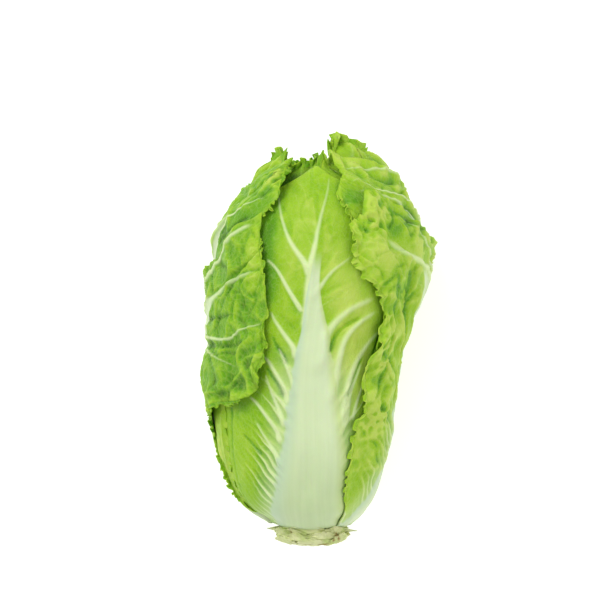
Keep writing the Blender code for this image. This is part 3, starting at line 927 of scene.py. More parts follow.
class Sheet:
    """A closed thin solid from a grid."""

    def __init__(self, name: str, inner: Array, outer: Array) -> None:
        """Keeps the name and the grids of points, rows by columns by 3, in millimetres."""
        self.name = name
        self.inner = inner
        self.outer = outer

    def build(
        self,
        marks: dict[str, Array],
        flat: tuple[Array, Array],
        split: Split = Split.MIRRORED,
    ) -> bpy.types.Object:
        """Makes the object.

        Args:
            marks: A value at each grid point for each colour mark.
            flat: The grid points' flat coordinates in millimetres, for fine patterns.
            split: Which way the faces are split.

        Returns:
            The object, linked into the scene.
        """
        rows, columns = self.inner.shape[:2]
        shape = bmesh.new()
        bmesh.ops.create_grid(shape, x_segments=columns - 1, y_segments=rows - 1, size=1.0)
        middle = {Split.MIRRORED: 0.0, Split.RISING: -2.0, Split.FALLING: 2.0}[split]
        for is_low, method in ((True, "ALTERNATE"), (False, "FIXED")):
            half = [
                face for face in shape.faces
                if len(face.verts) == 4 and (face.calc_center_median().x < middle) == is_low
            ]
            bmesh.ops.triangulate(shape, faces=half, quad_method=method)
        kept = len(shape.verts)
        bmesh.ops.extrude_face_region(shape, geom=shape.faces[:])
        bmesh.ops.recalc_face_normals(shape, faces=shape.faces[:])
        mesh = bpy.data.meshes.new(self.name)
        shape.verts.index_update()
        shape.to_mesh(mesh)
        shape.free()
        spot = Solids.coordinates(mesh)
        column = np.round((spot[:, 0] + 1) / 2 * (columns - 1)).astype(int)
        row = np.round((spot[:, 1] + 1) / 2 * (rows - 1)).astype(int)
        is_outer = np.arange(len(spot)) >= kept
        points = np.where(is_outer[:, None], self.outer[row, column], self.inner[row, column])
        read = {label: values[row, column] for label, values in marks.items()}
        Solids.mould(mesh, points, read)
        uv = mesh.uv_layers.new(name="flat")
        corner = np.empty(len(mesh.loops), np.int32)
        mesh.loops.foreach_get("vertex_index", corner)
        pairs = np.stack([flat[0][row, column], flat[1][row, column]], axis=-1) / FLAT_UNIT
        uv.data.foreach_set("uv", pairs[corner].astype(np.float32).ravel())
        return linked(self.name, mesh)


class Solids:
    """Closed solids of revolution that are then shaped, and their volumes."""

    @staticmethod
    def volume(mesh: bpy.types.Mesh) -> float:
        """The volume that the mesh's faces enclose, negative where they point inwards."""
        shape = bmesh.new()
        shape.from_mesh(mesh)
        found = shape.calc_volume(signed=True)
        shape.free()
        return found

    @staticmethod
    def coordinates(mesh: bpy.types.Mesh) -> Array:
        """The mesh's points, as rows of three."""
        spot = np.empty(len(mesh.vertices) * 3, np.float32)
        mesh.vertices.foreach_get("co", spot)
        return spot.reshape(-1, 3)

    @classmethod
    def mould(cls, mesh: bpy.types.Mesh, points: Array, marks: dict[str, Array]) -> None:
        """Moves a mesh's points, turns its faces outward and writes its marks.

        Args:
            mesh: The mesh. It is changed.
            points: Its new points, in millimetres.
            marks: A value at each point for each colour mark.
        """
        mesh.vertices.foreach_set("co", (points * MM).astype(np.float32).ravel())
        mesh.update()
        if cls.volume(mesh) < 0:
            mesh.flip_normals()
        for label, values in marks.items():
            layer = mesh.attributes.new(label, "FLOAT", "POINT")
            layer.data.foreach_set("value", np.asarray(values, np.float32))
        mesh.shade_smooth()

    @classmethod
    def turned(cls, name: str, sides: int, rows: int, place: Placing) -> bpy.types.Object:
        """A ball whose points are moved by their turn and their share from pole to pole.

        Args:
            name: The object's name.
            sides: Points round it.
            rows: Rings from pole to pole.
            place: Gives the points and the marks for arrays of turns and shares.

        Returns:
            The object, linked into the scene.
        """
        shape = bmesh.new()
        bmesh.ops.create_uvsphere(shape, u_segments=sides, v_segments=rows, radius=1.0)
        mesh = bpy.data.meshes.new(name)
        shape.to_mesh(mesh)
        shape.free()
        spot = cls.coordinates(mesh).astype(float)
        share = np.arccos(np.clip(-spot[:, 2], -1, 1)) / np.pi
        turn = np.arctan2(spot[:, 0], spot[:, 1]) % (2 * np.pi)
        cls.mould(mesh, *place(turn, share))
        return linked(name, mesh)


@dataclass(frozen=True)
class Shred:
    """A shred of a trimmed leaf on the stem: the turn of its middle and how much it spans, in
    degrees; the heights of its root and tip and how far the tip stands off, in millimetres; how
    far it narrows to a point, 0 to 1; and how much its root slopes, in millimetres."""

    middle: float
    wide: float
    root: float
    tip: float
    away: float
    seed: int
    narrow: float = 0.0
    slant: float = 0.0


class Stem:
    """The cut stem end and the core above it, with the scars and shreds of trimmed leaves."""

    SCARS = 5
    GIRTH = 24.0
    CORE_ROWS = (0.0, 0.16, 0.22, 0.4, 0.48, 0.55, 0.64, 0.76, 0.88, 1.0)
    CORE_HEIGHT = (0.6, 0.0, 0.9, 8.0, 10.5, 13.0, 18.0, 28.0, 40.0, 55.0)
    CORE_RADIUS = (0.0, 18.6, 21.6, 24.6, 24.4, 21.5, 21.0, 20.0, 14.0, 0.0)
    SHREDS = (
        Shred(76, 66, 10.6, 9.6, 9.4, 401, 0.94, 4.6),
        Shred(48, 64, 9.0, 15.0, 3.8, 402),
        Shred(138, 84, 1.8, 12.0, 3.4, 403),
        Shred(206, 80, 3.0, 12.5, 3.6, 404),
        Shred(280, 60, 11.0, 11.0, 5.0, 405, 0.85, -3.8),
        Shred(322, 66, 8.0, 14.0, 3.2, 406),
        Shred(356, 80, 9.5, 15.5, 4.2, 407),
        Shred(20, 58, 5.6, 11.0, 1.9, 408),
        Shred(334, 60, 4.2, 9.6, 1.7, 409),
        Shred(60, 56, 2.6, 8.8, 1.6, 410),
        Shred(0, 46, 2.0, 6.4, 1.2, 411),
        Shred(308, 52, 1.4, 6.8, 1.1, 412),
    )

    def __init__(self, floor: Floor) -> None:
        """Keeps the floor that the head is set down on."""
        self.floor = floor

    def points(self, turn: Array, share: Array) -> tuple[Array, dict[str, Array]]:
        """The stem's surface.

        Args:
            turn: Turns round the axis.
            share: From the middle of the cut face, 0, to the core's tip, 1.

        Returns:
            The points, and the marks that the colours read.
        """
        height = smooth(self.CORE_ROWS, self.CORE_HEIGHT, share)
        radius = smooth(self.CORE_ROWS, self.CORE_RADIUS, share)
        around = turn * self.GIRTH
        wavy = 0.25 * clouds(around, height, 22, 306, 2)
        lap = (height / 3.1 + self.SCARS * 0.4 * turn / (2 * np.pi) + wavy) % 1.0
        on_side = step(share, 0.17, 0.24) * (1 - step(height, 8.5, 12.0))
        scar = 1.5 * np.minimum(1 - lap, 6 * lap) * on_side
        x, y = radius * np.sin(turn), radius * np.cos(turn)
        fibre = clouds(around, height * 0.4, 7, 301, 3)
        face = 1 - step(share, 0.17, 0.22)
        rough = 0.5 * clouds(x, y, 8, 302, 3) * face
        rings = 0.25 * np.sin(radius * 1.6 + clouds(x, y, 14, 303)) * face
        scraps = np.maximum(0, clouds(around, height, 11, 304, 2)) * on_side
        radius = radius + scar + 0.35 * fibre * on_side + 0.9 * scraps
        height = height + rough + rings + 0.5 * fibre * step(share, 0.2, 0.24) * on_side
        points = self.floor.settle(
            OUTLINE.on_axis(turn, height, radius), turn, np.zeros_like(turn)
        )
        first, _ = cells(x + 40, y + 40, 9.0, 305)
        marks = {
            "face": face,
            "scar": np.clip((1 - np.minimum(lap, 1 - lap) * 9) * on_side, 0, 1),
            # the spot mark holds spots on the cut face, drying spots and the painted shadow line
            "spot": np.clip(1 - first * 2.6, 0, 1) + self.dried_and_shadow(turn, height) * (1 - face),
        }
        return points, marks

    @staticmethod
    def dried_and_shadow(turn: Array, height: Array) -> Array:
        """How brown the side of the stem is at some places: brown drying spots, and a painted
        shadow line low down on the side that faces up.

        Args:
            turn: Turns round the axis.
            height: Heights above the cut.

        Returns:
            0 where it is fresh and unshaded, more on the brown drying spots and on the painted
            shadow line.
        """
        degrees = np.degrees(turn + np.pi) % 360 - 180
        # a painted shadow line 1.4 mm above the cut, on the side that faces up
        spots = np.exp(-(((height - 1.4) / 0.5) ** 2)) * (1 - step(np.abs(degrees), 24, 42))
        # brown drying spots
        for at, up, size in ((46, 8.4, 1.9), (50, 5.0, 1.5), (38, 4.4, 1.1), (-30, 10.5, 0.8)):
            off = (degrees - at) * 0.43
            spots = np.maximum(spots, 1.2 * np.exp(-(off**2 + (height - up) ** 2) / size**2))
        return 1.4 * spots

    def shred(self, shred: Shred) -> tuple[Sheet, Array]:
        """A shred of a trimmed leaf, which hangs on to the stem.

        Args:
            shred: Its place and size.

        Returns:
            The shred's sheet, and how brown it is from drying spots and the painted shadow line.
        """
        u, v = np.meshgrid(np.linspace(-1, 1, 41), np.linspace(0, 1, 11))
        full = 1 - shred.narrow
        tall = 1 - 0.65 * full * np.abs(u) ** 1.6
        ragged = (0.3 + 0.3 * full) * wander(u, shred.seed, 2.5) * v
        drawn_in = v ** (1 + 0.9 * shred.narrow)
        root = shred.root - shred.slant * u
        height = root + (shred.tip - root) * drawn_in * tall + ragged
        turn = np.radians(shred.middle + shred.wide / 2 * u * (1 - shred.narrow * drawn_in))
        lift = 0.4 * v + shred.away * v ** (1 + 2 * full) + 0.4 * wander(u * 2 + v, shred.seed + 1)
        radius = smooth((0, 1, 8, 14), (19.0, 22.0, 24.8, 24.7), height) + lift
        foot = np.zeros_like(turn)
        faces = [
            self.floor.settle(OUTLINE.on_axis(turn, height, radius + more), turn, foot)
            for more in (0.0, 0.8)
        ]
        return Sheet(f"stem_shred_{shred.seed}", *faces), self.dried_and_shadow(turn, height)

    def build(self) -> bpy.types.Object:
        """Makes the stem and its shreds, joined into one piece."""
        parts = [Solids.turned("stem_end", 160, 120, self.points)]
        for shred in self.SHREDS:
            sheet, dried_and_shadow = self.shred(shred)
            zero = np.zeros_like(dried_and_shadow)
            marks = {"face": zero, "scar": zero + 0.25, "spot": dried_and_shadow}
            parts.append(sheet.build(marks, (zero, zero)))
        return joined(parts)


class Heart:
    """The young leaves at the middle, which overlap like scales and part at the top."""

    FOOT, TOP = 0.20, 0.995
    LEAVES = 5
    STEP = 3.0

    def __init__(self, base: Laid, floor: Floor) -> None:
        """Keeps the depths that the heart fills, and the floor."""
        self.base = base
        self.floor = floor

    def points(self, turn: Array, share: Array) -> tuple[Array, dict[str, Array]]:
        """The heart's surface.

        Args:
            turn: Turns round the axis.
            share: From its foot, 0, to its top, 1.

        Returns:
            The points, and the marks that the colours read.
        """
        path = self.FOOT + (self.TOP - self.FOOT) * share
        around = np.sin(turn) * 40
        across = np.cos(turn) * 40
        wavy = 0.05 * clouds(path * 300, around, 40, 501) * step(path, 0.6, 0.9)
        lap = (self.LEAVES * turn / (2 * np.pi) + 1.6 * path + wavy) % 1.0
        groove = self.STEP * np.maximum(lap, 1 - 8 * lap)
        deeper = step(path, self.FOOT, 0.4) + step(path, 0.8, 0.95)
        lumps = clouds(path * 320, around, 15, 502, 3) + clouds(path * 320, across, 15, 503, 3)
        depth = self.base.read(turn, path) - 1.0 - groove * deeper
        depth = depth + 0.55 * lumps * step(path, 0.3, 0.6)
        points = self.floor.settle(OUTLINE.place(turn, path, depth), turn, path)
        marks = {
            # painted light on the raised lumps, painted shade between them
            "puff": np.clip(0.5 + 0.3 * lumps, 0, 1),
            "margin": np.clip(1 - 9 * lap, 0, 1) * step(path, 0.6, 0.9),
            "foot": 1 - step(path, 0.3, 0.75),
        }
        return points, marks

    def build(self) -> bpy.types.Object:
        """Makes the heart."""
        return Solids.turned("heart_leaves", 150, 120, self.points)


class Grain(Enum):
    """What a fine pattern's coordinates are."""

    FLAT = "the leaf's own flat coordinates"
    BODY = "the object's coordinates"


class Signal:
    """A socket of a material, as a value that Python's operators work on."""

    def __init__(self, shader: "Shader", socket: bpy.types.NodeSocket) -> None:
        """Wraps the socket."""
        self.shader = shader
        self.socket = socket

    def _math(self, operation: str, first: "Signal | float", second: "Signal | float") -> "Signal":
        """A Math node on two values."""
        return self.shader.node("ShaderNodeMath", {"operation": operation}, {0: first, 1: second})

    def __add__(self, other: "Signal | float") -> "Signal":
        """The sum."""
        return self._math("ADD", self, other)

    __radd__ = __add__

    def __mul__(self, other: "Signal | float") -> "Signal":
        """The product."""
        return self._math("MULTIPLY", self, other)

    __rmul__ = __mul__

    def __sub__(self, other: "Signal | float") -> "Signal":
        """The difference."""
        return self._math("SUBTRACT", self, other)

    def __rsub__(self, other: "Signal | float") -> "Signal":
        """The difference, with this value taken away."""
        return self._math("SUBTRACT", other, self)

    def __pow__(self, other: "Signal | float") -> "Signal":
        """The power."""
        return self._math("POWER", self, other)

    def rise(self, start: float, end: float) -> "Signal":
        """0 at start and 1 at end, with a smooth rise; start may be the greater."""
        if start > end:
            return 1 - self.rise(end, start)
        return self.shader.node(
            "ShaderNodeMapRange",
            {"interpolation_type": "SMOOTHSTEP"},
            {"Value": self, "From Min": start, "From Max": end},
        )

    def mix(self, low: "Signal | tuple", high: "Signal | tuple") -> "Signal":
        """A colour between low and high, picked by this value."""
        return self.shader.node(
            "ShaderNodeMix", {"data_type": "RGBA"}, {0: self, 6: low, 7: high}, 2
        )


class Shader:
    """One material and its node tree."""

    def __init__(self, name: str) -> None:
        """Makes a material with a Principled shader."""
        self.material = bpy.data.materials.new(name)
        self.material.use_nodes = True
        self.tree = self.material.node_tree
        self.surface = self.tree.nodes["Principled BSDF"]

    def node(
        self, kind: str, settings: dict, inputs: dict, output: int | str = 0
    ) -> Signal:
        """Adds a node.

        Args:
            kind: The node's type.
            settings: Its settings, set before its sockets.
            inputs: Values or signals, by socket name or number.
            output: The socket that is read.

        Returns:
            The node's output.
        """
        made = self.tree.nodes.new(kind)
        for name, value in settings.items():
            setattr(made, name, value)
        for key, value in inputs.items():
            self._feed(made.inputs[key], value)
        return Signal(self, made.outputs[output])

    def _feed(self, socket: bpy.types.NodeSocket, value: "Signal | float | tuple") -> None:
        """Links a signal to a socket, or sets its value."""
        if isinstance(value, Signal):
            self.tree.links.new(value.socket, socket)
        elif isinstance(value, tuple) and len(value) == 3 and socket.type == "RGBA":
            socket.default_value = (*value, 1.0)
        else:
            socket.default_value = value

    def set(self, **sockets: "Signal | float | tuple") -> None:
        """Feeds the Principled shader's sockets, named with _ for each space."""
        for name, value in sockets.items():
            self._feed(self.surface.inputs[name.replace("_", " ")], value)

    def mark(self, name: str) -> Signal:
        """A mark that the mesh carries."""
        return self.node("ShaderNodeAttribute", {"attribute_name": name}, {}, "Fac")

    def spot(self, grain: Grain) -> Signal:
        """The coordinates of a fine pattern."""
        if grain is Grain.FLAT:
            return self.node("ShaderNodeUVMap", {"uv_map": "flat"}, {})
        return self.node("ShaderNodeTexCoord", {}, {}, "Object")

    def stretched(self, spot: Signal, scale: tuple[float, float, float]) -> Signal:
        """Coordinates stretched along their axes."""
        return self.node("ShaderNodeMapping", {}, {"Vector": spot, "Scale": scale})

    def noise(self, spot: Signal, scale: float, detail: float = 3.0) -> Signal:
        """Cloudy noise between 0 and 1."""
        inputs = {"Vector": spot, "Scale": scale, "Detail": detail}
        return self.node("ShaderNodeTexNoise", {}, inputs)

    def net(self, spot: Signal, scale: float) -> Signal:
        """The distance to the nearest line of an irregular net."""
        settings = {"feature": "DISTANCE_TO_EDGE"}
        return self.node("ShaderNodeTexVoronoi", settings, {"Vector": spot, "Scale": scale})

    def bump(self, height: Signal, strength: float, distance: float) -> Signal:
        """A normal from a height."""
        inputs = {"Height": height, "Strength": strength, "Distance": distance}
        return self.node("ShaderNodeBump", {}, inputs)


@dataclass(frozen=True)
class LeafFinish:
    """A fresh leaf: green blade, pale veins, white petiole, with painted light and shade from its
    relief, its light patches and its folds.
    """

    name: str
    tone: float = 0.0
    quilting: float = 0.6
    # deep and shade are the greens of painted shade, light the pale green of painted light, which
    # random grain and the quilted net also use
    deep: Colour = (0.035, 0.17, 0.002)
    shade: Colour = (0.13, 0.38, 0.008)
    blade: Colour = (0.30, 0.55, 0.014)
    light: Colour = (0.52, 0.69, 0.10)
    vein: Colour = (0.74, 0.87, 0.45)
    petiole: Colour = (0.74, 0.86, 0.54)
    petiole_deep: Colour = (0.57, 0.71, 0.38)
    # a painted bluish sheen on the rib's low side and a painted yellower shade on its high side
    low_side_sheen: Colour = (0.50, 0.67, 0.47)
    high_side_shade: Colour = (0.58, 0.72, 0.25)
    edge: Colour = (0.44, 0.68, 0.03)

    def build(self) -> bpy.types.Material:
        """Makes the material."""
        shader = Shader(self.name)
        flat = shader.spot(Grain.FLAT)
        rib, vein, fan = (shader.mark(mark) for mark in ("rib", "vein", "fan"))
        puff, patch, side = (shader.mark(mark) for mark in ("puff", "patch", "rib_side"))
        patches = shader.noise(flat, 3.2, 5.0)
        grain = shader.noise(flat, 60.0, 3.0)
        veinlets = shader.net(shader.stretched(flat, (1.0, 0.8, 1.0)), 34.0).rise(0.10, 0.0)
        quilt = shader.net(shader.stretched(flat, (1.0, 0.75, 1.0)), 22.0).rise(0.24, 0.0)
        quilt = quilt * (1 - rib) * (patches * 0.9 + 0.55) * self.quilting
        # tone: painted light and shade from the relief, random tone, the painted light and shade of
        # patches and folds, and the leaf's own tone
        tone = (puff - 0.5) * 1.1 + (patches - 0.5) * 0.75 + patch * 0.7 + self.tone
        low = tone.rise(-0.95, -0.3).mix(self.deep, self.shade)
        middle = tone.rise(-0.45, 0.1).mix(low, self.blade)
        blade = tone.rise(0.0, 0.6).mix(middle, self.light)
        blade = (grain.rise(0.35, 0.75) * 0.12).mix(blade, self.light)
        blade = (quilt * 0.16).mix((veinlets * 0.08).mix(blade, self.vein), self.light)
        blade = (shader.mark("margin") * 0.35).mix(blade, self.edge)
        pale = (fan * 0.42).mix(blade, self.petiole)
        veined = (vein.rise(0.12, 0.8) * 0.9).mix(pale, self.vein)
        streaks = shader.noise(shader.stretched(flat, (4.5, 0.14, 1.0)), 6.0, 4.0)
        # the petiole is darker under painted shade and paler under painted light, besides its
        # streaks and random tone
        depth = 0.22 + streaks * 0.8 + (patches - 0.5) * 0.5 + patch * 0.8
        white = depth.mix(self.petiole_deep, self.petiole)
        # painted bluish sheen on the rib's low side, painted yellower shade on its high side
        white = (side.rise(-0.5, -0.95) * 0.6).mix(white, self.low_side_sheen)
        white = (side.rise(0.5, 1.0) * 0.75).mix(white, self.high_side_shade)
        colour = rib.rise(0.25, 0.7).mix(veined, white)
        fine = (veinlets * 0.3 + grain * 0.3) * (1 - rib * 0.7)
        height = quilt * 1.2 + fine + streaks * rib * 0.2
        shader.set(
            Base_Color=colour,
            Roughness=0.45 - rib * 0.1 + (grain - 0.5) * 0.12,
            Normal=shader.bump(height, 0.45, 0.0009),
            Specular_IOR_Level=0.12,
            Subsurface_Weight=0.12,
            Subsurface_Radius=(0.35, 0.7, 0.12),
            Subsurface_Scale=0.004,
        )
        return shader.material


@dataclass(frozen=True)
class HeartFinish:
    """Young leaves that grew in the dark: yellow, paler at the foot."""

    name: str = "heart_leaf"
    deep: Colour = (0.60, 0.72, 0.09)
    light: Colour = (0.90, 0.93, 0.34)
    foot: Colour = (0.78, 0.82, 0.50)

    def build(self) -> bpy.types.Material:
        """Makes the material."""
        shader = Shader(self.name)
        body = shader.spot(Grain.BODY)
        cloud = shader.noise(body, 60.0, 4.0)
        veinlets = shader.net(body, 260.0).rise(0.10, 0.0)
        # tone: painted light on the raised lumps, and random clouds
        tone = shader.mark("puff") * 0.6 + cloud * 0.6 - 0.1
        young = tone.rise(0.1, 0.9).mix(self.deep, self.light)
        young = (veinlets * 0.25).mix(young, self.foot)
        young = (shader.mark("margin") * 0.4).mix(young, self.light)
        shader.set(
            Base_Color=shader.mark("foot").mix(young, self.foot),
            Roughness=0.5 + (cloud - 0.5) * 0.15,
            Normal=shader.bump(veinlets * 0.5 + cloud, 0.3, 0.0006),
            Specular_IOR_Level=0.4,
            Subsurface_Weight=0.15,
            Subsurface_Radius=(0.6, 0.7, 0.2),
            Subsurface_Scale=0.004,
        )
        return shader.material


@dataclass(frozen=True)
class StemFinish:
    """The cut stem end: cream, fibrous, browning where it has been drying, with a painted brown
    shadow line low down.
    """

    name: str = "cut_stem"
    cream: Colour = (0.76, 0.80, 0.42)
    green: Colour = (0.54, 0.66, 0.22)
    brown: Colour = (0.30, 0.20, 0.05)

    def build(self) -> bpy.types.Material:
        """Makes the material."""
        shader = Shader(self.name)
        body = shader.spot(Grain.BODY)
        cloud = shader.noise(body, 90.0, 4.0)
        fibre = shader.noise(shader.stretched(body, (5.0, 1.0, 5.0)), 60.0, 4.0)
        face = shader.mark("face")
        skin = cloud.rise(0.35, 0.7).mix(self.cream, self.green)
        # brown from drying spots and from the painted shadow line, both in the spot mark
        dry_spots_and_shadow = shader.mark("spot") * cloud.rise(0.36, 0.58)
        scarred = shader.mark("scar") * 0.45 * fibre.rise(0.4, 0.65)
        dried_and_shadow = (dry_spots_and_shadow * 0.8 + scarred).mix(skin, self.brown)
        cut = (fibre.rise(0.3, 0.8) * 0.5).mix(dried_and_shadow, self.cream)
        shader.set(
            Base_Color=(face * 0.6).mix(dried_and_shadow, cut),
            Roughness=0.62 + (cloud - 0.5) * 0.2,
            Normal=shader.bump(fibre + cloud * 0.6, 0.5, 0.0008),
            Specular_IOR_Level=0.35,
            Subsurface_Weight=0.1,
            Subsurface_Radius=(0.7, 0.7, 0.3),
            Subsurface_Scale=0.003,
        )
        return shader.material


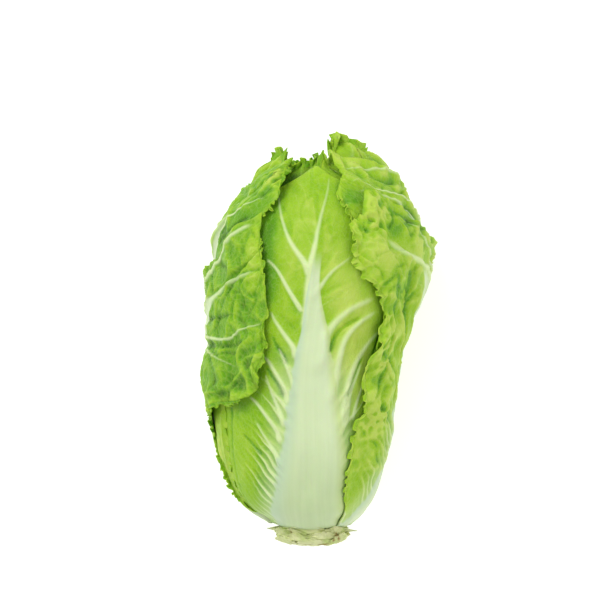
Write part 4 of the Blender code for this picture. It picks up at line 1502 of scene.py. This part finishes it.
@dataclass(frozen=True)
class Cabbage:
    """The whole head: the leaves from the inmost out, over the heart and the stem."""

    golden: float = 137.5

    def inner_leaves(self) -> list[Leaf]:
        """The leaves round the heart, each a golden angle on from the last."""
        widths = (0.50, 0.62, 0.80, 0.95, 1.0, 0.88, 0.55)
        drop = (0, 0, 0, 0, 2, 5, 10)
        made = []
        for n in range(7):
            turn, spread = 20 + self.golden * n, 92 + n
            foot, tip = 52 - 4.5 * n, 288 - 1.5 * n
            heights = [foot + (tip - foot) * k for k in Leaf.STATIONS]
            low, high = (
                tuple((turn + s * spread * w, h - d) for w, h, d in zip(widths, heights, drop))
                for s in (-1, 1)
            )
            made.append(
                Leaf(
                    f"leaf_inner_{n + 1}", tuple((turn, h) for h in heights), low, high,
                    gap=0.5, ruffle=3.5, waves=4.0, rib_scale=0.4 + 0.02 * n, seed=11 + n,
                    across=60, along=72, tone=0.1 - 0.04 * n, frill=1.2,
                    # painted shade near each inner leaf's tip, in the cavity at the top; the tip
                    # frills carry painted shade too
                    patches=tuple(
                        LightPatch(turn + 30 * k, tip - 6, 20, 24, -1.0) for k in range(-3, 4)
                    ),
                    frills=(
                        Frill(Edge.TIP, 0.05, 0.95, 7, 3.0, 7, 0.5, -0.3, 50 + n),
                    ) if n > 2 else (),
                )
            )
        return made

    def outer_leaves(self) -> list[Leaf]:
        """The large leaves outside them, from the inmost out."""
        return [
            Leaf(
                "leaf_back_left",
                rib=(
                    (212, 22), (214, 65), (216, 112), (220, 160), (226, 208), (234, 246),
                    (268, 281),
                ),
                low_edge=(
                    (164, 22), (150, 65), (136, 112), (132, 160), (140, 206), (160, 240),
                    (216, 275),
                ),
                high_edge=(
                    (260, 22), (276, 65), (296, 112), (306, 160), (310, 206), (310, 240),
                    (324, 278),
                ),
                flare=5, rib_scale=0.55, seed=31, across=110, along=130, tone=-0.1, frill=1.6,
                frills=(
                    Frill(Edge.TIP, 0.02, 0.98, 9.5, 4.6, 6, 0.6, 0.0, 3),
                    Frill(Edge.HIGH, 0.78, 1.0, 8, 3.0, 5, 0.5, -0.1, 5),
                ),
            ),
            Leaf(
                "leaf_back_right",
                rib=(
                    (148, 19), (147, 62), (144, 110), (140, 158), (130, 206), (100, 248), (22, 288),
                ),
                low_edge=(
                    (100, 19), (86, 62), (66, 110), (56, 158), (50, 206), (36, 240), (-6, 272),
                ),
                high_edge=(
                    (196, 19), (210, 62), (224, 110), (228, 158), (222, 206), (206, 242),
                    (176, 274),
                ),
                flare=12, rib_scale=0.6, seed=32, across=110, along=140, tone=0.0, frill=1.6,
                frills=(
                    Frill(Edge.TIP, 0.02, 0.98, 10, 4.0, 9, 0.65, 0.1, 7),
                ),
            ),
            Leaf(
                "leaf_front",
                rib=((3, 13), (6, 57), (6, 100), (4, 145), (-1, 188), (-1, 232), (-11, 272)),
                low_edge=(
                    (-76, 16), (-96, 48), (-95, 88), (-82, 130), (-70, 175), (-57, 225), (-40, 257),
                ),
                high_edge=(
                    (72, 16), (76, 48), (70, 88), (66, 130), (66, 175), (58, 225), (28, 254),
                ),
                seed=33, across=160, along=190, fan_top=150, side_veins=0.12, dimple=0.42,
                tip_waves=0.0, frill=0.3, tone=0.06, quilting=0.14,
                rib_width=(30, 25, 18.5, 11.8, 4.4, 2.3, 1.2),
                # veins with white below 0 are folds with painted shade
                veins=(
                    Vein(((-3, 160), (-3, 172), (-4, 190), (-4, 207)), 3.6, 1.7, 0.8),
                    Vein(
                        ((-4, 196), (-4, 207), (-3, 216), (-2, 228), (0, 243), (3, 258), (4, 268)),
                        2.8, 1.6, 0.3,
                    ),
                    Vein(
                        (
                            (-4, 194), (-7, 204), (-11, 211), (-16, 220), (-21, 232), (-27, 246),
                            (-34, 260),
                        ),
                        2.6, 1.6, 0.4,
                    ),
                    Vein(((-5, 170), (-14, 186), (-22, 201), (-29, 209)), 1.8, 1.5, 0.6),
                    Vein(((-1, 180), (1, 186), (7, 199), (18, 212)), 2.6, 1.5, 0.4),
                    Vein(
                        ((7, 130), (9, 140), (9, 153), (14, 165), (22, 174), (36, 182)), 4.8, 3.0,
                        0.5,
                    ),
                    Vein(
                        ((16, 108), (18, 120), (19, 135), (21, 153), (28, 164), (39, 173)), 4.2,
                        2.8, 0.5,
                    ),
                    Vein(
                        ((23, 90), (25, 99), (27, 116), (31, 135), (37, 149), (45, 160)), 4.4, 2.8,
                        0.5,
                    ),
                    Vein(((13, 143), (15, 155), (20, 162), (28, 168)), 1.6, -3.4, 0.6, -0.8),
                    Vein(((28, 112), (31, 118), (33, 129), (35, 140)), 1.3, -3.4, 0.6, -1.0),
                    Vein(((43, 138), (44, 148), (45, 162)), 1.8, -3.6, 0.7, -1.0),
                    Vein(((-6, 138), (-8, 146), (-15, 157), (-20, 165), (-24, 173)), 2.4, 2.0, 0.5),
                    Vein(
                        ((-10, 106), (-12, 116), (-17, 127), (-22, 136), (-26, 140)), 2.6, 2.2,
                        0.55,
                    ),
                    Vein(((-13, 90), (-15, 99), (-21, 116), (-25, 129)), 2.3, 2.0, 0.5),
                    Vein(((-16, 78), (-18, 87), (-25, 98), (-32, 107), (-37, 111)), 2.4, 2.2, 0.55),
                    Vein(((-17, 62), (-19, 70), (-27, 83), (-33, 94)), 2.2, 2.0, 0.5),
                    Vein(((-11, 134), (-13, 140), (-18, 148), (-21, 155)), 1.5, -3.0, 0.6, -1.0),
                    Vein(((-13, 112), (-15, 118), (-20, 126), (-23, 132)), 1.5, -3.0, 0.6, -1.0),
                    Vein(((-32, 70), (-35, 73), (-40, 79), (-46, 84)), 1.2, -3.0, 0.6, -0.9),
                    Vein(((-55, 104), (-56, 92), (-58, 76)), 1.6, -1.8, 0.5, -0.55),
                    Vein(((-58, 80), (-61, 60), (-63, 44), (-62, 28)), 1.4, -1.2, 0.5, -0.35),
                    Vein(((28, 92), (29, 105), (30, 114), (33, 126), (35, 137)), 2.2, 2.0, 0.5),
                    Vein(((33, 94), (35, 105), (37, 114), (40, 124)), 1.8, 1.8, 0.5),
                    Vein(((29, 114), (31, 125), (34, 138)), 1.3, -3.0, 0.6, -1.0),
                    Vein(
                        ((3, 172), (5, 176), (10, 180), (15, 182), (19, 190)), 1.0, 0.6, 0.5, 0.45,
                    ),
                    Vein(((15, 182), (18, 176), (22, 171)), 0.9, 0.5, 0.5, 0.4),
                    Vein(((-5, 112), (-8, 124), (-13, 138), (-17, 147)), 2.0, 1.8, 0.5),
                ),
                # light patches: painted shade where light is below 0, painted light where it is
                # above 0
                patches=(
                    LightPatch(5, 30, 46, 34, -0.62), LightPatch(-31, 230, 9, 34, -0.75),
                    LightPatch(-27, 190, 9, 20, -0.75),
                    LightPatch(14, 256, 6, 14, -0.7), LightPatch(22, 226, 9, 14, -0.2),
                    LightPatch(-12, 245, 9, 22, 0.35), LightPatch(7, 212, 10, 14, 0.35),
                    LightPatch(-14, 196, 8, 14, 0.3), LightPatch(16, 184, 12, 22, 0.5),
                    LightPatch(28, 140, 18, 40, 0.75), LightPatch(-47, 62, 9, 26, 0.25),
                    LightPatch(-44, 104, 12, 14, -0.5), LightPatch(-30, 118, 9, 30, -0.3),
                    LightPatch(44, 70, 6, 30, -0.5),
                ),
            ),
            Leaf(
                "leaf_upper_right",
                rib=((112, 14), (112, 65), (105, 120), (92, 175), (72, 224), (44, 252), (15, 266)),
                low_edge=((80, 18), (62, 55), (52, 100), (46, 150), (38, 196), (22, 228), (8, 252)),
                high_edge=(
                    (146, 16), (160, 60), (165, 115), (155, 175), (120, 234), (72, 270), (6, 283),
                ),
                rib_scale=0.6, tip_waves=0.4, seed=34, across=130, along=170, split=Split.FALLING,
                frills=(Frill(Edge.LOW, 0.72, 0.99, 5, 2.0, 6, 0.4, 0.0, 11),), tone=0.12,
                ruffle=3.5, side_veins=0.1, fan=0.3,
                # veins with white below 0 are folds with painted shade
                veins=(
                    Vein(
                        (
                            (92, 196), (96, 224), (97, 248), (84, 264), (56, 272), (30, 273),
                            (8, 270),
                        ),
                        2.2, 1.5,
                    ),
                    Vein(((74, 246), (60, 254), (32, 260), (16, 259)), 1.3, 0.9),
                    Vein(
                        (
                            (96, 158), (90, 192), (81, 220), (66, 240), (52, 251), (33, 255),
                            (18, 252),
                        ),
                        2.8, 1.7,
                    ),
                    Vein(((86, 222), (72, 240), (55, 247), (30, 249)), 2.2, -3.2, 0.7, -1.0),
                    Vein(((80, 262), (55, 267), (32, 267)), 1.8, -1.6, 0.5, -0.35),
                ),
                # light patches: painted shade where light is below 0, painted light where it is
                # above 0
                patches=(
                    LightPatch(20, 277, 14, 8, 0.6), LightPatch(50, 264, 14, 7, -0.25),
                    LightPatch(72, 252, 9, 14, 0.4),
                    LightPatch(60, 236, 16, 9, -0.7), LightPatch(20, 248, 10, 6, -0.5),
                ),
            ),
            Leaf(
                "leaf_upper_left",
                rib=(
                    (-118, 14), (-115, 65), (-108, 120), (-96, 175), (-82, 222), (-60, 252),
                    (-32, 268),
                ),
                low_edge=(
                    (-150, 16), (-165, 60), (-172, 115), (-165, 175), (-138, 228), (-92, 256),
                    (-34, 277),
                ),
                high_edge=(
                    (-84, 18), (-73, 55), (-64, 100), (-58, 150), (-54, 200), (-42, 232),
                    (-28, 250),
                ),
                rib_scale=0.4, tip_waves=0.4, seed=35, across=120, along=160, tone=-0.28,
                split=Split.RISING,
                # each frill's eighth value is its painted light
                frills=(
                    Frill(Edge.HIGH, 0.05, 0.40, 7, 0.9, 9, -1.0, 0.6, 12),
                    Frill(Edge.HIGH, 0.74, 0.99, 6, 2.6, 7, 0.4, 0.35, 13),
                    Frill(Edge.TIP, 0.3, 0.98, 6, 2.6, 5, 0.5, 0.1, 15),
                ),
                ruffle=3.5, press=0.95, side_veins=0.1, fan=0.0,
                # the vein with white below 0 is a fold with painted shade
                veins=(
                    Vein(
                        ((-102, 158), (-95, 192), (-87, 220), (-76, 236), (-64, 250), (-52, 262)),
                        2.4, 1.5,
                    ),
                    Vein(((-78, 228), (-60, 240), (-46, 246), (-36, 250)), 1.0, 0.7),
                    Vein(((-74, 222), (-58, 231), (-46, 238)), 1.6, -2.2, 0.6, -0.8),
                ),
                # light patches: painted shade where light is below 0, painted light where it is
                # above 0
                patches=(
                    LightPatch(-76, 64, 22, 44, 1.0), LightPatch(-52, 246, 12, 9, 0.35),
                    LightPatch(-36, 262, 8, 9, 0.6), LightPatch(-72, 226, 9, 9, -0.5),
                    LightPatch(-46, 232, 10, 6, -0.4),
                ),
                crumples=(Crumple(-36, 262, 11, 3.0, 7),),
            ),
            Leaf(
                "leaf_left",
                rib=(
                    (-106, 13), (-110, 50), (-106, 95), (-96, 135), (-76, 170), (-50, 192),
                    (-32, 212),
                ),
                low_edge=(
                    (-134, 16), (-144, 50), (-152, 95), (-150, 140), (-120, 180), (-72, 208),
                    (-34, 238),
                ),
                high_edge=(
                    (-80, 16), (-90, 50), (-88, 84), (-60, 104), (-34, 110), (-24, 140), (-25, 178),
                ),
                rib_scale=0.55, tip_waves=0.3, seed=36, across=150, along=170, tone=-0.3,
                quilting=0.95, dimple=1.2, folds=0.85,
                split=Split.RISING,
                # each frill's eighth value is its painted light
                frills=(
                    Frill(Edge.HIGH, 0.06, 0.33, 5, 2.0, 8, 0.5, 0.6, 16),
                    Frill(Edge.HIGH, 0.04, 0.35, 7, 1.2, 7, -1.4, 0.7, 18),
                    Frill(Edge.HIGH, 0.30, 0.62, 5, 2.2, 10, 0.3, -0.1, 17),
                    Frill(Edge.HIGH, 0.72, 0.99, 5, 1.8, 5, 0.3, 0.2, 19),
                    Frill(Edge.TIP, 0.25, 0.98, 4, 1.6, 6, 0.2, 0.35, 20),
                ),
                press=0.95, side_veins=0.12, fan=0.0,
                # veins with white below 0 are folds with painted shade
                veins=(
                    Vein(
                        ((-86, 160), (-88, 180), (-74, 196), (-60, 211), (-46, 222), (-37, 231)),
                        2.7, 1.9, 0.55,
                    ),
                    Vein(
                        ((-97, 130), (-91, 154), (-79, 172), (-61, 181), (-46, 192), (-31, 199)),
                        3.6, 2.0, 0.45,
                    ),
                    Vein(
                        ((-95, 138), (-86, 150), (-68, 151), (-52, 151), (-38, 158), (-24, 163)),
                        1.7, 1.5, 0.5,
                    ),
                    Vein(
                        ((-99, 126), (-90, 141), (-75, 141), (-60, 137), (-43, 131)), 1.6, 1.4, 0.4,
                    ),
                    Vein(((-90, 147), (-66, 146), (-50, 146), (-36, 150)), 1.9, -2.6, 0.7, -0.6),
                    Vein(((-84, 164), (-62, 166), (-46, 168)), 1.8, -1.8, 0.6, -0.5),
                ),
                # light patches: painted shade where light is below 0, painted light where it is
                # above 0
                patches=(
                    LightPatch(-88, 66, 20, 40, 1.0), LightPatch(-36, 216, 6, 14, 0.85),
                    LightPatch(-33, 196, 6, 14, 0.65), LightPatch(-34, 240, 5, 6, 0.8),
                    LightPatch(-66, 232, 16, 9, -0.35), LightPatch(-82, 190, 10, 16, -0.5),
                    LightPatch(-62, 194, 9, 8, 0.2),
                    LightPatch(-44, 126, 16, 18, -0.2),
                ),
            ),
            Leaf(
                "leaf_right",
                rib=((86, 13), (90, 55), (90, 105), (88, 150), (80, 188), (50, 210), (20, 234)),
                low_edge=((44, 14), (33, 45), (34, 85), (38, 125), (38, 170), (24, 198), (13, 228)),
                high_edge=(
                    (120, 16), (132, 50), (140, 100), (142, 150), (112, 198), (56, 238), (22, 250),
                ),
                rib_scale=0.85, tip_waves=0.3, seed=37, across=150, along=180, tone=0.2,
                split=Split.FALLING,
                frills=(
                    Frill(Edge.LOW, 0.12, 0.62, 5, 2.2, 13, 0.3, 0.1, 21),
                    Frill(Edge.LOW, 0.64, 0.99, 6, 2.6, 9, 0.3, 0.1, 23),
                ),
                press=0.9, quilting=0.28, dimple=1.2, side_veins=0.25, fan=0.8, fan_top=110,
                # veins with white below 0 are folds with painted shade
                veins=(
                    Vein(
                        ((86, 164), (84, 184), (78, 198), (54, 207), (42, 212), (32, 219)), 3.8,
                        2.1, 0.45,
                    ),
                    Vein(((84, 180), (83, 199), (72, 214), (60, 228), (48, 238)), 1.8, 1.2),
                    Vein(((88, 216), (70, 228), (50, 236), (34, 240)), 2.0, -2.8, 0.7, -0.9),
                    Vein(((54, 200), (58, 180), (64, 160), (70, 140)), 2.4, -4.0, 0.7, -1.0),
                    Vein(((42, 196), (46, 178), (50, 160), (50, 142)), 2.0, -3.4, 0.6, -0.9),
                    Vein(((15, 244), (17, 232), (22, 224), (29, 225)), 1.8, -3.4, 0.7, -0.9),
                    Vein(((20, 250), (34, 246), (40, 236), (36, 226)), 1.8, -3.0, 0.7, -0.8),
                    Vein(((49, 132), (47, 116), (44, 108)), 1.8, -3.0, 0.6, -0.8),
                ),
                # light patches: painted shade where light is below 0, painted light where it is
                # above 0
                patches=(
                    LightPatch(24, 236, 9, 8, 0.5), LightPatch(34, 208, 14, 9, 0.5),
                    LightPatch(60, 208, 14, 8, 0.25), LightPatch(46, 182, 9, 10, -0.5),
                    LightPatch(40, 226, 9, 6, -0.6), LightPatch(50, 150, 8, 16, 0.35),
                    LightPatch(48, 100, 9, 20, 0.45),
                    LightPatch(62, 232, 14, 8, -0.2),
                ),
                # the crumples paint light on their knobs and shade in their folds
                crumples=(
                    Crumple(24, 236, 14, 5.0, 9),
                    Crumple(49, 94, 11, 3.5, 8),
                    Crumple(45, 140, 9, 3.0, 8),
                ),
            ),
            Leaf(
                "leaf_back",
                rib=(
                    (180, 13), (180, 60), (180, 105), (180, 150), (180, 195), (180, 235),
                    (180, 266),
                ),
                low_edge=(
                    (138, 16), (124, 50), (118, 90), (114, 135), (116, 180), (124, 222), (140, 255),
                ),
                high_edge=(
                    (222, 16), (238, 50), (243, 90), (247, 135), (245, 180), (238, 222), (222, 255),
                ),
                ruffle=3.2, seed=38, across=110, along=130,
            ),
        ]

    def build(self) -> list[tuple[bpy.types.Object, str, str]]:
        """Makes every piece.

        Returns:
            Each piece with the solid that it stands for and its material slot.
        """
        stack = Stack(self.inner_leaves() + self.outer_leaves())
        base = stack.base()
        done, laid = stack.lay(stack.layers(True), base)
        floor = Floor(laid)
        pieces = []
        heart = Heart(Laid(base), floor).build()
        heart.data.materials.append(HeartFinish().build())
        pieces.append((heart, "heart", "heart_yellow"))
        stem = Stem(floor).build()
        stem.data.materials.append(StemFinish().build())
        pieces.append((stem, "stem", "stem_cream"))
        for item in done:
            layer, leaf = item.layer, item.layer.leaf
            faces = [
                floor.settle(OUTLINE.place(layer.turn, layer.path, depth), layer.turn, layer.path)
                for depth in (item.inner, item.outer)
            ]
            flat = (layer.flat, layer.along)
            parts = [Sheet(f"{leaf.name}_blade", *faces).build(layer.marks, flat, leaf.split)]
            for index, frill in enumerate(leaf.frills):
                parts.append(frill.build(f"{leaf.name}_frill_{index + 1}", *faces))
            made = joined(parts)
            made.data.materials.append(LeafFinish(leaf.name, leaf.tone, leaf.quilting).build())
            pieces.append((made, leaf.name, "leaf_green"))
        return pieces


@dataclass(frozen=True)
class Studio:
    """The pale floor, the soft lights and the camera."""

    key: float = 12.0
    fill: float = 6.5
    sky: float = 0.55
    floor_tone: Colour = (0.90, 0.90, 0.90)

    def build(self) -> None:
        """Makes them all."""
        self._floor()
        self._lights()
        self._camera()

    def _floor(self) -> None:
        """A plain pale floor at z = 0."""
        shape = bmesh.new()
        bmesh.ops.create_grid(shape, x_segments=1, y_segments=1, size=4.0)
        mesh = bpy.data.meshes.new("floor")
        shape.to_mesh(mesh)
        shape.free()
        floor = linked("floor", mesh)
        shader = Shader("pale_floor")
        cloud = shader.noise(shader.spot(Grain.BODY), 8.0, 2.0)
        shader.set(
            Base_Color=cloud.mix(self.floor_tone, (0.92, 0.92, 0.92)),
            Roughness=0.8,
            Emission_Color=(1.0, 1.0, 1.0),
            Emission_Strength=0.45,
        )
        mesh.materials.append(shader.material)
        floor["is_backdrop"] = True

    def _lights(self) -> None:
        """A large soft key from the upper left, a fill from the right, and an even sky."""
        lamps = (
            ("key", (-0.8, 0.7, 1.3), 1.0, self.key),
            ("fill", (0.9, -0.3, 1.3), 1.6, self.fill),
        )
        for name, place, size, power in lamps:
            light = bpy.data.lights.new(name, "AREA")
            light.shape = "DISK"
            light.size = size
            light.energy = power
            lamp = linked(name, light)
            lamp.location = place
            aim = Vector((0, 0, 0.06)) - Vector(place)
            lamp.rotation_euler = aim.to_track_quat("-Z", "Y").to_euler()
        world = bpy.data.worlds.new("soft_sky")
        world.use_nodes = True
        sky = world.node_tree.nodes["Background"].inputs
        sky["Color"].default_value = (1, 1, 1, 1)
        sky["Strength"].default_value = self.sky
        bpy.context.scene.world = world
        bpy.context.scene.view_settings.view_transform = "Standard"

    def _camera(self) -> None:
        """A camera that looks down on the head, square to its axis, tips at the top."""
        lens = bpy.data.cameras.new("camera")
        lens.lens = 100
        lens.sensor_width = 36
        camera = linked("camera", lens)
        pivot = Matrix.Translation((0, 0, 0.072))
        above = Matrix.Translation((-0.0088, 0.0286, 1.30))
        tilt = Matrix.Rotation(OUTLINE.TILT, 4, "X")
        camera.matrix_world = pivot @ tilt @ pivot.inverted() @ above
        bpy.context.scene.camera = camera


def main() -> None:
    """Builds the head and the studio."""
    logging.basicConfig(level=logging.INFO, format="%(message)s")
    for piece, node, slot in Cabbage().build():
        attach(piece, "root")
        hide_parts(node)
        LOG.info("%s stands for %s: %d faces", piece.name, node, len(piece.data.polygons))
    Studio().build()
    boxes = {"cad": CAD_BOX, "visual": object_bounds()}
    sizes = {name: [list(map(float, corner)) for corner in box] for name, box in boxes.items()}


if __name__ == "__main__":
    main()
